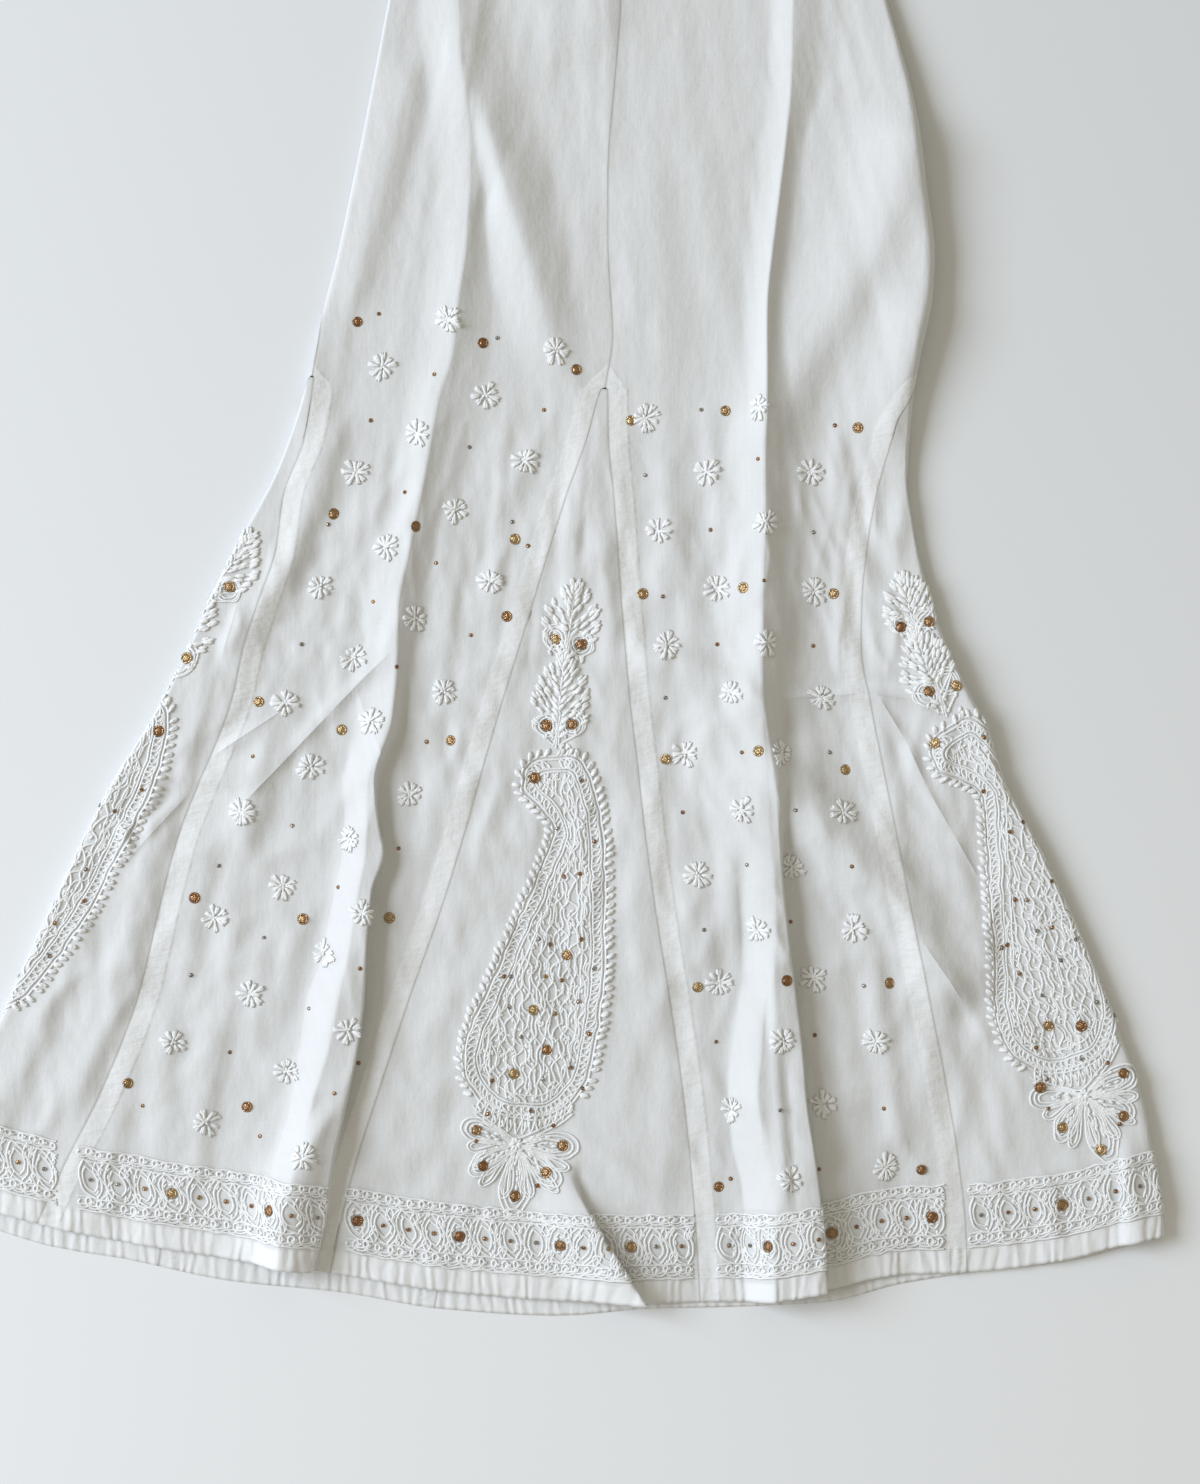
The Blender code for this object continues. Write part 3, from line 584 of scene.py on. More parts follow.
def clothGrid(left, right, rows, guides, segments):
    # u and drop of a grid between two seams, with columns that follow the guides
    start, startDrop = onLine(left, rows)
    end, endDrop = onLine(right, rows)
    middle = (startDrop + endDrop) / 2
    count = sum(segments)
    least = np.minimum(0.8, (end - start) / (1.2 * count))
    anchors, before = [start], 0
    for guide, part in zip(guides, segments):
        before += part
        anchors.append(np.clip(guide(middle), anchors[-1] + least * part,
                               end - least * (count - before)))
    anchors.append(end)
    edge = np.minimum(1.1, least)
    columns = [start, start + 0.22 * edge, start + edge]
    for here, there, part in zip(anchors, anchors[1:], segments):
        columns += [here + (there - here) * (k + 1) / part for k in range(part)]
    columns[-1:-1] = [end - edge, end - 0.22 * edge]
    columns = np.sort(np.stack(columns, axis=1), axis=1)
    share = (columns - start[:, None]) / (end - start)[:, None]
    drop = startDrop[:, None] + (endDrop - startDrop)[:, None] * share
    for _ in range(5):
        drop = rowDrop(rows, columns, drop)
    drop[:, 0], drop[:, -1] = startDrop, endDrop
    return columns, drop


def meshWith(name, points, edges, faces, fields):
    # a mesh with values of its own at each point
    mesh = bpy.data.meshes.new(name)
    mesh.from_pydata(points.reshape(-1, 3).tolist(), edges, faces)
    for field, values in fields.items():
        kind, key = ("FLOAT_VECTOR", "vector") if values.ndim == points.ndim else ("FLOAT", "value")
        data = mesh.attributes.new(field, kind, "POINT").data
        data.foreach_set(key, np.ascontiguousarray(values, np.float32).ravel())
    return mesh


def linked(name, data):
    obj = bpy.data.objects.new(name, data)
    bpy.context.scene.collection.objects.link(obj)
    return obj


def baked(obj, name):
    # the object with its modifiers made into plain mesh
    bpy.context.view_layer.update()
    graph = bpy.context.evaluated_depsgraph_get()
    mesh = bpy.data.meshes.new_from_object(obj.evaluated_get(graph))
    mesh.name = name
    old = obj.data
    obj.modifiers.clear()
    obj.data = mesh
    bpy.data.meshes.remove(old)
    return obj


def sheetPiece(name, points, fields, material, thickness):
    # a grid of points as cloth with a wall of its own
    rows, columns, _ = points.shape
    index = np.arange(rows * columns).reshape(rows, columns)
    quads = np.stack([index[:-1, :-1], index[1:, :-1], index[1:, 1:], index[:-1, 1:]], axis=-1)
    mesh = meshWith(name, points, [], quads.reshape(-1, 4).tolist(), fields)
    mesh.update()
    mesh.shade_smooth()
    mesh.materials.append(material)
    obj = linked(name, mesh)
    wall = obj.modifiers.new("wall", "SOLIDIFY")
    wall.thickness = thickness / 1000
    wall.offset = 0
    return baked(obj, name)


class Wire:
    # one socket of a node tree, with arithmetic that adds the nodes it needs
    def __init__(self, tree, socket=None):
        self.tree = tree
        self.socket = socket

    def node(self, kind, settings=None, values=None, out=0):
        made = self.tree.nodes.new(kind)
        for name, value in (settings or {}).items():
            setattr(made, name, value)
        for key, value in (values or {}).items():
            if isinstance(value, Wire):
                value.into(made, key)
            else:
                made.inputs[key].default_value = value
        return Wire(self.tree, made.outputs[out])

    def math(self, operation, first, second=None, third=None):
        values = {i: value for i, value in enumerate((first, second, third)) if value is not None}
        return self.node("ShaderNodeMath", {"operation": operation}, values)

    __add__ = lambda self, other: self.math("ADD", self, other)
    __radd__ = lambda self, other: self.math("ADD", other, self)
    __sub__ = lambda self, other: self.math("SUBTRACT", self, other)
    __rsub__ = lambda self, other: self.math("SUBTRACT", other, self)
    __mul__ = lambda self, other: self.math("MULTIPLY", self, other)
    __rmul__ = lambda self, other: self.math("MULTIPLY", other, self)
    __truediv__ = lambda self, other: self.math("DIVIDE", self, other)
    __rtruediv__ = lambda self, other: self.math("DIVIDE", other, self)

    def into(self, node, key):
        self.tree.links.new(self.socket, node.inputs[key])

    def field(self, name, out=2):
        # a value that the mesh carries, or the vector with out 1
        return self.node("ShaderNodeAttribute", {"attribute_name": name}, out=out)

    def split(self):
        # the three parts of a vector
        made = self.node("ShaderNodeSeparateXYZ", None, {0: self}).socket.node
        return [Wire(self.tree, socket) for socket in made.outputs]

    def ramp(self, low, high):
        # 0 below low and 1 above high, or the other way round, with soft ends
        return self.node("ShaderNodeMapRange", {"interpolation_type": "SMOOTHSTEP"},
                         {0: self, 1: low, 2: high})

    def bell(self, centre, reach):
        away = (self - centre) / reach
        return self.math("EXPONENT", away * away * -1)

    def mix(self, low, high):
        # a colour between two by this factor
        return self.node("ShaderNodeMix", {"data_type": "RGBA"}, {0: self, 6: low, 7: high}, 2)

    def bump(self, height, strength, distance):
        return self.node("ShaderNodeBump", None,
                         {"Strength": strength, "Distance": distance, "Height": height})


def newMaterial(name, roughness):
    material = bpy.data.materials.new(name)
    material.use_nodes = True
    shader = material.node_tree.nodes["Principled BSDF"]
    shader.inputs["Roughness"].default_value = roughness
    return material, Wire(material.node_tree), shader


clothLook = {
    "white": (0.682, 0.69, 0.692, 1), "doubled": (0.775, 0.784, 0.787, 1),
    # the colour at key 727 is painted shade for the cloth between the threads of the embroidery
    "seamLine": (0.45, 0.44, 0.41, 1), "shadeAmongThreads": (0.63, 0.635, 0.63, 1),
    "roughness": 0.85, "shine": 0.25, "seamAllowance": 15.0, "allowanceFrom": (348, 24),
    "hemWidth": 18.0, "puckerPitch": 9.0,
    "puckerDepth": 0.24, "weaveDepth": 0.05, "crumpleDepth": 0.9,
}


def clothMaterial(name):
    material, wire, shader = newMaterial(name, clothLook["roughness"])
    u, drop, overHem = wire.field("place", 1).split()
    fromLeft, fromRight, allowance = wire.field("seams", 1).split()
    sewn = wire.field("sewn")
    nearest = wire.math("MINIMUM", fromLeft, fromRight)
    width = clothLook["seamAllowance"]

    def noise(x, y, z, detail=2.0):
        where = wire.node("ShaderNodeCombineXYZ", None, {0: x, 1: y, 2: z})
        return wire.node("ShaderNodeTexNoise", None,
                         {"Vector": where, "Scale": 1.0, "Detail": detail})

    slub = noise(u * 0.55, drop * 0.02, 0.0)
    cross = noise(u * 0.03, drop * 0.5, 3.0)
    crumple = noise(u * 0.09, drop * 0.05, 7.0, 3.0)
    wave = noise(u / 24, drop / 60, 11.0)
    pucker = wire.math("SINE", u * (2 * math.pi / clothLook["puckerPitch"]) + wave * 14)
    pucker = pucker * (noise(u / 19, drop / 25, 15.0) * 2.2 - 0.3)
    gather = noise(nearest * 0.09, drop * 0.22, 19.0)
    hem = clothLook["hemWidth"]
    inHem = overHem.ramp(hem + 3, hem - 3)
    strip = (nearest.ramp(width * allowance + 1.6, width * allowance - 1.6)
             * allowance.ramp(0.0, 0.2))
    pressed = 0.0
    for rise, reach, line in sharpCreases:
        for (x1, drop1), (x2, drop2) in zip(line, line[1:]):
            length = math.dist((x1, drop1), (x2, drop2))
            a, b = (x2 - x1) / length, (drop2 - drop1) / length
            along = (u - x1) * a + (drop - drop1) * b
            away = wire.math("ABSOLUTE", (u - x1) * b - (drop - drop1) * a)
            shape = wire.math("EXPONENT", away * (-1 / reach)) * rise
            pressed = shape * along.ramp(-4, 14) * along.ramp(length + 4, length - 14) + pressed
    height = (pressed
              + pucker * clothLook["puckerDepth"] * (inHem + overHem.ramp(40.0, hem) * 0.35)
              + strip * ((gather - 0.5) * 0.9 + 0.25) + overHem.ramp(18.6, 17.4) * 0.3
              - overHem.bell(17.0, 0.6) * 0.3
              + (slub + cross) * clothLook["weaveDepth"] + crumple * clothLook["crumpleDepth"])
    tone = wire.math("MAXIMUM", strip * 0.95, inHem * 0.9)
    tone = wire.math("MINIMUM", tone + (slub - 0.5) * 0.5 + (cross - 0.5) * 0.35 + 0.1, 1.0)
    tone = wire.math("MAXIMUM", tone, 0.0)
    colour = tone.mix(clothLook["white"], clothLook["doubled"])
    # painted shade: the cloth is darker where the stitches lie thick, as shadow falls between the
    # threads
    colour = (sewn.ramp(0.05, 1.0) * 0.75).mix(colour, clothLook["shadeAmongThreads"])
    line = wire.math("MAXIMUM", nearest.bell(0.0, 0.85) * 0.66,
                     nearest.bell(width, 0.8) * allowance * 0.16)
    line.mix(colour, clothLook["seamLine"]).into(shader, "Base Color")
    wire.bump(height, 1.0, 0.001).into(shader, "Normal")
    shader.inputs["Specular IOR Level"].default_value = clothLook["shine"]
    return material


whiteCotton = clothMaterial("whiteCotton")


def foldGuides(name):
    fold = folds[name]
    return [lambda drop: crest(fold, drop) - fold.band(drop) - fold.rise(drop),
            lambda drop: crest(fold, drop) - fold.band(drop),
            lambda drop: crest(fold, drop),
            lambda drop: crest(fold, drop) + fold.fall(drop)]


def rollGuides(side):
    shares = (0, 1) if side == "right" else (1, 0)
    return [lambda drop, share=share: rollU(side, drop, share) for share in shares]


def pickRows(own, kept):
    return SimpleNamespace(share=own.share[kept], overHem=own.overHem[kept], split=own.split[kept])


def everyOther(own, step):
    # fewer rows for the layer underneath, keeping the apex, the hem and the split
    index = np.arange(len(own.share))
    split = np.flatnonzero(np.diff(own.split))
    return pickRows(own, (index % step == 0) | (index > len(index) - 8)
                    | np.isin(index, [*split, *(split + 1)]))


rows = rowShares()
godetRows = pickRows(rows, slice(lay["rowCounts"][0], None))
# left and right edge, rows, the lines that columns follow and the columns between them
panelParts = {
    "front_left_panel": (
        sideLine("left", frontSeams, halfGap), centreLine(-1), rows,
        foldGuides("left"), [26, 14, 8, 12, 24]),
    "front_right_panel": (
        centreLine(1), sideLine("right", frontSeams, halfGap), rows,
        foldGuides("right"), [18, 14, 10, 12, 28]),
    "front_godet": (
        centreLine(-1, -halfGap), centreLine(1, -halfGap), godetRows,
        foldGuides("centre"), [18, 14, 1, 8, 12]),
    "left_godet": (
        sideLine("left", backSeams, -halfGap), sideLine("left", frontSeams, -halfGap), godetRows,
        rollGuides("left"), [6, 10, 30]),
    "right_godet": (
        sideLine("right", frontSeams, -halfGap), sideLine("right", backSeams, -halfGap), godetRows,
        rollGuides("right"), [36, 12, 6]),
    "back_left_panel": (
        backLine("left", "centreLeft", halfGap), sideLine("left", backSeams, halfGap),
        everyOther(rows, 4), [], [16]),
    "back_right_panel": (
        sideLine("right", backSeams, halfGap), backLine("right", "centreRight", -halfGap),
        everyOther(rows, 4), [], [16]),
    "back_godet": (
        backLine("right", "centreRight", halfGap), backLine("right", "centreLeft", -halfGap),
        everyOther(godetRows, 4), [], [12]),
}
grids = {name: clothGrid(*parts) for name, parts in panelParts.items()}


print("embroidery design")
# The paisley with its two leaf sprays and its foot, in x and drop
paisleyOutline = [
    (-36, 646), (-26, 646), (-16, 654), (-10, 668), (-6, 685), (-3, 709), (-2, 739), (-2, 769),
    (-2, 799), (-4, 829), (-8, 859), (-14, 884), (-25, 904), (-41, 916), (-60, 918), (-81, 914),
    (-96, 904), (-106, 889), (-109, 872), (-105, 851), (-95, 829), (-84, 805), (-74, 781),
    (-65, 761), (-58, 745), (-50, 725), (-43, 710), (-43, 698), (-51, 686), (-61, 676), (-65, 666),
    (-62, 655), (-52, 648),
]
# rings: inset and thickness; ladder: inset of both ends and pitch; lattice: angle and pitch;
# leaves: root, tip, half a width and two sequins; footLoops: angle and reach
motif = {
    "rings": [(0, 1.1), (2.8, 1.1), (9.4, 0.9), (11.6, 0.9), (17.5, 0.9)],
    "ladder": (2.8, 9.4, 5.4), "lattice": [(1.22, 6.6), (-1.26, 7.26)], "latticeInset": 12.4,
    "ladderWidths": (3.8, 5.0), "picotPitch": 6.2, "picotReach": 6.6, "picotWidth": 4.0,
    "fillings": 900, "fillingInset": 12.5, "unevenness": 1.1,
    "sequins": [(-55, 662), (-39, 558), (-20, 562), (-46, 623), (-27, 622), (-31, 795), (-56, 836),
                (-46, 866), (-71, 884), (-99, 926), (-94, 953), (-70, 976), (-47, 958), (-34, 938)],
    "spangles": [(-20, 664), (-38, 700), (-10, 710), (-33, 736), (-21, 734), (-52, 783),
                 (-44, 787), (-20, 783), (-10, 805), (-35, 814), (-47, 811), (-78, 811),
                 (-73, 811), (-74, 834), (-22, 830), (-40, 839), (-14, 854), (-65, 856),
                 (-28, 879), (-49, 888), (-87, 889), (-19, 895), (-58, 912), (-90, 914),
                 (-41, 923), (-99, 934), (-53, 968)],
    "leaves": [((-31, 573), (-24.5, 517), 23, (-39, 558), (-20, 562)),
               ((-38, 636), (-33, 571), 24, (-46, 623), (-27, 622))],
    "leafShape": ([0, 0.12, 0.3, 0.5, 0.68, 0.84, 0.95, 1.04],
                  [0.5, 0.78, 0.95, 1, 0.9, 0.66, 0.4, 0.05]),
    "foot": (-69, 936),
    "footLoops": [(2.62, 37), (2.25, 42), (1.8, 43), (1.33, 43), (0.92, 45), (0.48, 43), (0.08, 36),
                  (3.05, 36)],
    "footChain": [(-101, 908), (-91, 917), (-80, 926), (-69, 932), (-56, 928), (-42, 921),
                  (-27, 911)],
}
# How the same motif lies on each godet: x = a + b x + c drop and drop = d + e x + f drop, how
# far its leaves are sewn from there and how much they close up, and large sequins that differ
leaves = {"shiftAbove": 652, "shiftOver": 40, "closeAbove": 622}
godets = {
    "front_godet": {
        "x": (0, 1, 0), "drop": (0, 0, 1), "leafShift": (0, 0, 0), "sequins": []},
    "right_godet": {
        "x": (14.7, 0.833, 0.426), "drop": (21.4, -0.427, 0.906), "leafShift": (-5, -8, 0.2),
        "sequins": [(219, 549), (240, 545.3), (239.7, 597.5), (260, 593), (245, 636),
                    (330, 847.5), (354, 847.5), (324, 894), (340.5, 924), (369, 940.5),
                    (385.5, 915), (385.5, 882.8)]},
    "left_godet": {
        "x": (-16.0, 0.878, -0.457), "drop": (52.1, 0.457, 0.878), "leafShift": (6.5, -15, 0),
        "sequins": [(-283.5, 519), (-315.5, 572.3), (-336.8, 627)]},
}
flowers = {
    "front_left_panel": [
        (-119, 319), (-169, 354), (-39, 342), (-92, 375), (-143, 404), (-189, 433), (-62, 424),
        (-115, 461), (-166, 489), (-216, 519), (-88, 515), (-145, 542), (-191, 572), (-242, 606),
        (-123, 597), (-177, 620), (-223, 654), (-274, 688), (-149, 675), (-193, 707), (-244, 743),
        (-295, 767), (-183, 763), (-212, 793), (-268, 824), (-326, 860), (-194, 850), (-241, 882),
        (-302, 920), (-227, 944)],
    "front_right_panel": [
        (28, 392), (113, 385), (74, 433), (152, 433), (38, 477), (117, 472), (82, 520),
        (154, 522), (44, 563), (118, 561), (92, 598), (160, 602), (58, 644), (129, 644),
        (100, 686), (176, 688), (67, 735), (138, 729), (112, 776), (184, 775), (83, 816),
        (154, 812), (130, 858), (201, 860), (93, 911), (161, 907), (135, 961), (208, 954)],
}
sequins = {
    "front_left_panel": [
        (-188, 320), (-94, 336), (-24, 356), (-206, 464), (-144, 474), (-70, 483), (-76, 541),
        (-262, 605), (-200, 626), (-118, 634), (-310, 752), (-229, 768), (-164, 767), (-360, 891),
        (-271, 909)],
    "front_right_panel": [
        (17, 394), (88, 387), (187, 400), (26, 524), (101, 520), (169, 524), (43, 648),
        (112, 642), (178, 656), (67, 819), (133, 813), (211, 816), (83, 969), (235, 956)],
}
spangles = {
    "front_left_panel": [
        (-172, 314), (-83, 332), (-130, 360), (-178, 394), (-48, 386), (-104, 414), (-152, 448),
        (-72, 470), (-210, 472), (-60, 488), (-129, 501), (-176, 530), (-230, 562), (-103, 555),
        (-158, 579), (-136, 635), (-266, 646), (-237, 698), (-157, 715), (-292, 728), (-202, 744),
        (-258, 782), (-313, 810), (-185, 804), (-224, 835), (-284, 868), (-187, 876), (-349, 908),
        (-261, 931), (-204, 897)],
    "front_right_panel": [
        (70, 386), (170, 398), (28, 435), (112, 424), (77, 476), (154, 478), (41, 526),
        (116, 515), (82, 562), (154, 563), (43, 602), (100, 643), (166, 643), (56, 688),
        (140, 686), (104, 727), (182, 728), (72, 776), (137, 770), (192, 818), (81, 860),
        (155, 855), (128, 909), (207, 910), (92, 963), (158, 955)],
}
thread = {"width": 1.9, "step": 1.5, "bead": 0.3, "grainHeight": 0.75}
sequinRadius = {"large": 4.3, "small": 1.7, "largeOnPanel": 4.2, "smallOnPanel": 1.6}
chance = np.random.default_rng(lay["seed"])


def smoothLine(points, closed=False):
    # a rounded line through the points, in even steps
    points = np.array(points, float)
    before, after = ((points[-1], points[:2]) if closed else
                     (2 * points[0] - points[1], [2 * points[-1] - points[-2]]))
    points = np.concatenate([[before], points, after])
    t = np.linspace(0, 1, 12, endpoint=False)[:, None]
    out = []
    for a, b, c, d in zip(points, points[1:], points[2:], points[3:]):
        out.append(0.5 * (2 * b + (c - a) * t + (2 * a - 5 * b + 4 * c - d) * t ** 2
                          + (3 * b - a - 3 * c + d) * t ** 3))
    line = np.concatenate([*out, points[-2][None]])
    run = np.concatenate([[0], np.cumsum(np.linalg.norm(np.diff(line, axis=0), axis=1))])
    at = np.linspace(0, run[-1], max(3, round(run[-1] / thread["step"]) + 1))
    return together(np.interp(at, run, line[:, 0]), np.interp(at, run, line[:, 1]))


def depthInside(points, loop):
    # distance to the loop, negative outside it
    away = np.linalg.norm(points[:, None] - loop[None], axis=2).min(axis=1)
    a, b = loop[:-1], loop[1:]
    spans = (a[None, :, 1] > points[:, None, 1]) != (b[None, :, 1] > points[:, None, 1])
    rise = np.where(b[:, 1] == a[:, 1], 1e-9, b[:, 1] - a[:, 1])
    cut = a[None, :, 0] + (points[:, None, 1] - a[None, :, 1]) * (b - a)[None, :, 0] / rise
    inside = (spans & (points[:, None, 0] < cut)).sum(axis=1) % 2 == 1
    return np.where(inside, away, -away)


def keptRuns(line, keep, least=4):
    # the stretches of a line that are kept, without very short ones
    runs, run = [], []
    for point, good in zip(line, keep):
        if good:
            run.append(point)
        else:
            runs.append(run)
            run = []
    runs.append(run)
    return [np.array(run) for run in runs if len(run) >= least]


def teardrop(tip, end, width):
    # a closed loop from its pointed tip round its far end
    tip, end = np.array(tip, float), np.array(end, float)
    along = end - tip
    half = quarterTurn(unit(along)) * width / 2
    one = [tip + along * at + half * out for at, out in ((0.35, 0.62), (0.72, 1), (0.95, 0.55))]
    other = [tip + along * at - half * out for at, out in ((0.95, 0.55), (0.72, 1), (0.35, 0.62))]
    return smoothLine([tip, *one, end, *other, tip])


class Stitching:
    # what is sewn on one piece, as u and drop: thread lines, single stitches, sequins
    def __init__(self):
        self.lines, self.grains, self.discs = [], [], []

    def line(self, points, thick):
        self.lines.append((points, thick))

    def grain(self, place, way, length, width, lift):
        self.grains.append((*place, *way, length / 2, width / 2, lift))

    def disc(self, place, radius, lift):
        self.discs.append((*place, radius, lift))

    def roughen(self, size, seed):
        # small shifts, as a hand makes them, that neighbouring stitches share
        def moved(places):
            a, b = places.T / 8
            return places + size * together(softNoise(a, b, seed), softNoise(a, b, seed + 1))
        self.lines = [(moved(line), thick) for line, thick in self.lines]
        grains = np.array(self.grains)
        grains[:, :2] = moved(grains[:, :2])
        self.grains = grains.tolist()

    def takeOver(self, other, place, turn):
        # another set's stitches, at their own places on the cloth
        for line, thick in other.lines:
            self.line(together(*place(*line.T)), thick)
        grains, discs = np.array(other.grains), np.array(other.discs)
        for values in (grains, discs):
            values[:, :2] = together(*place(*values[:, :2].T))
        grains[:, 2:4] = together(*turn(*grains[:, 2:4].T))
        self.grains += grains.tolist()
        self.discs += discs.tolist()


def sewMotif(sewn):
    loop = smoothLine(paisleyOutline, closed=True)
    tangent = unit(np.gradient(loop, axis=0))
    inward = together(-tangent[:, 1], tangent[:, 0])
    for inset, thick in motif["rings"]:
        ring = loop + inward * inset
        keep = depthInside(ring, loop) > inset * 0.93 if inset else np.ones(len(ring), bool)
        for run in keptRuns(ring, keep, 8):
            sewn.line(run, thick)
    # slanting loops between the rings
    near, far, pitch = motif["ladder"]
    skip = pitch / thread["step"]
    for k in range(int((len(loop) - 5) / skip)):
        i = round(k * skip)
        a = loop[i] + inward[i] * (near + 0.4)
        b = loop[i + 3] + inward[i + 3] * (far - 0.2)
        if depthInside(b[None], loop)[0] > far * 0.86:
            sewn.line(teardrop(a, b, chance.uniform(*motif["ladderWidths"])), 0.95)
    # padded picots round the outside, left out where the foot hangs
    every = motif["picotPitch"] / thread["step"]
    for k in range(int(len(loop) / every)):
        i = round(k * every) % len(loop)
        lean = 0.75 if tangent[i][1] < 0 else -0.55
        way = -inward[i] + tangent[i] * (lean + chance.normal(0, 0.12))
        base = loop[i] - inward[i] * 0.4
        tip = base + unit(way) * motif["picotReach"] * chance.uniform(0.88, 1.12)
        overFoot = base[1] > 900 and -104 < base[0] < -22
        if depthInside(tip[None], loop)[0] < -2 and not overFoot:
            wide = motif["picotWidth"] * chance.uniform(0.85, 1.15)
            sewn.grain((base + tip) / 2, way, 8.2, wide, 0.8)
            sewn.grain(base * 0.65 + tip * 0.35 + chance.normal(0, 0.6, 2), way, 5.6, 2.6, 1.4)
    # two sets of wavy threads crossing as a net
    low, high = loop.min(axis=0), loop.max(axis=0)
    t = np.arange(-260, 260, thread["step"])
    for angle, pitch in motif["lattice"]:
        step = heading(angle)
        side = quarterTurn(step)
        for offset in np.arange(-260, 260, pitch):
            wander = 1.5 * np.sin(t / 3.1 + offset) + 1.6 * softNoise(t / 9, offset, 51)
            line = (low + high) / 2 + step * t[:, None] + side * (offset + wander)[:, None]
            line = line[(np.abs(line - (low + high) / 2) < (high - low) / 2).all(axis=1)]
            if len(line) > 6:
                for run in keptRuns(line, depthInside(line, loop) > motif["latticeInset"], 5):
                    sewn.line(run, 1.0)
    # small filling stitches between the threads
    spots = chance.uniform(low, high, (motif["fillings"], 2))
    for spot in spots[depthInside(spots, loop) > motif["fillingInset"]]:
        sewn.grain(spot, heading(chance.normal(1.4, 0.7)), 5.0, 2.2, 0.35)
    for root, tip, halfWidth, *eyes in motif["leaves"]:
        sewLeaf(sewn, np.array(root, float), np.array(tip, float), halfWidth, np.array(eyes, float))
    sewFoot(sewn, np.array(motif["foot"], float))
    for place in motif["sequins"]:
        sewn.disc(place, sequinRadius["large"], 1.3)
    for place in motif["spangles"]:
        sewn.disc(place, sequinRadius["small"], 1.4)


def sewLeaf(sewn, root, tip, halfWidth, eyes):
    # a bushy leaf: padded stitches fan out from a vein, over two ringed sequins
    length = math.dist(root, tip)
    along = (tip - root) / length
    side = quarterTurn(along)

    def fromEyes(spot):
        return np.linalg.norm(eyes - spot, axis=1).min()
    for sign in (-1, 1):
        for k in range(12):
            t = 0.06 + 0.86 * k / 11
            angle = 1.0 - 0.66 * t + chance.normal(0, 0.09)
            way = along * math.cos(angle) + side * sign * math.sin(angle)
            start = root + along * length * t + way
            reach = 0
            while reach < 36:
                spot = start + way * (reach + 1) - root
                room = halfWidth * np.interp(spot @ along / length, *motif["leafShape"])
                if abs(spot @ side) > room:
                    break
                reach += 1
            count = max(1, round(reach / 8.4))
            for j in range(count):
                middle = start + way * reach * (j + 0.5) / count
                if fromEyes(middle) > 6.5:
                    bent = way + side * sign * chance.normal(0.0, 0.12)
                    sewn.grain(middle + chance.normal(0, 0.6, 2), bent,
                               reach / count * chance.uniform(0.9, 1.15), chance.uniform(2.8, 3.7),
                               chance.uniform(0.5, 1.0))
            between = start + way * reach * chance.uniform(0.74, 0.9) + along * length * 0.04
            if fromEyes(between) > 7:
                sewn.grain(between, way + side * sign * chance.normal(0, 0.15), 7.0, 2.8, 0.7)
            sewn.line(smoothLine([start + way * at for at in (0, reach * 0.5, max(reach - 2, 2))]),
                      0.9)
    for eye in eyes:
        for radius in (5.9, 8.3):
            ring = [eye + radius * heading(angle) for angle in np.arange(0, 6.2, 0.7)]
            sewn.line(smoothLine(ring, closed=True), 1.0)
        foot = root - along + side * np.sign((eye - root) @ side) * 1.5
        sewn.line(teardrop(foot, eye + (eye - foot) * 0.6, 19), 1.0)
    for _ in range(16):
        spot = root + along * chance.uniform(-3, 12) + side * chance.uniform(-14, 14)
        if fromEyes(spot) > 6:
            sewn.grain(spot, along + side * chance.normal(0, 0.8), 5.5, 2.5, 0.6)
    sewn.line(smoothLine([root - along * 3, root + along * length * 0.5, tip]), 1.2)
    sewn.grain(tip - along, along, 9, 3.0, 0.8)


def sewFoot(sewn, foot):
    # looped petals below the paisley, round the sequins after its first nine
    for eye in motif["sequins"][9:]:
        away = eye - foot
        wide = max(0.82, np.linalg.norm(away) / 38)
        for grow, width in ((1.36, 21), (1.24, 15.5), (1.13, 10)):
            sewn.line(teardrop(foot, foot + away * grow, width * wide), 1.1)
        for _ in range(15):
            spot = foot + away * chance.uniform(0.2, 0.86) + chance.normal(0, 3.2, 2)
            sewn.grain(spot, away + chance.normal(0, 5, 2), 5.4, 2.4, 0.5)
    for angle, reach in motif["footLoops"]:
        way = heading(angle) * reach
        sewn.line(teardrop(foot + way * 0.2, foot + way, 9.5), 1.05)
        sewn.line(teardrop(foot + way * 0.45, foot + way * 0.94, 5), 0.9)
    # two lines of chain, short loops that join the paisley to them, and a knot
    for sag in (0, 4):
        sewn.line(smoothLine(np.array(motif["footChain"]) + (0, sag)), 1.15)
    for t in np.arange(-6, 7) / 6:
        low = np.array([-64 + 35 * t, 929 - 15 * t * t])
        high = np.array([-61 + 31 * t, 917 - 13 * t * t])
        sewn.line(teardrop(low, high - (0, 2), 5.2), 1.0)
        sewn.grain((low + high) / 2 + chance.normal(0, 0.8, 2), (0.5 * t, -1), 7, 2.6, 0.6)
    for way in map(heading, np.arange(8) * math.pi / 4):
        sewn.grain(foot + 2.6 * way, way, 5.0, 2.8, 1.1)


# the fewest petals and one more than the most, and how much they differ
petal = {"count": (9, 11), "length": 10.0, "width": 2.7, "lengths": (0.8, 1.22),
         "widths": (0.62, 1.04), "lift": 0.74}


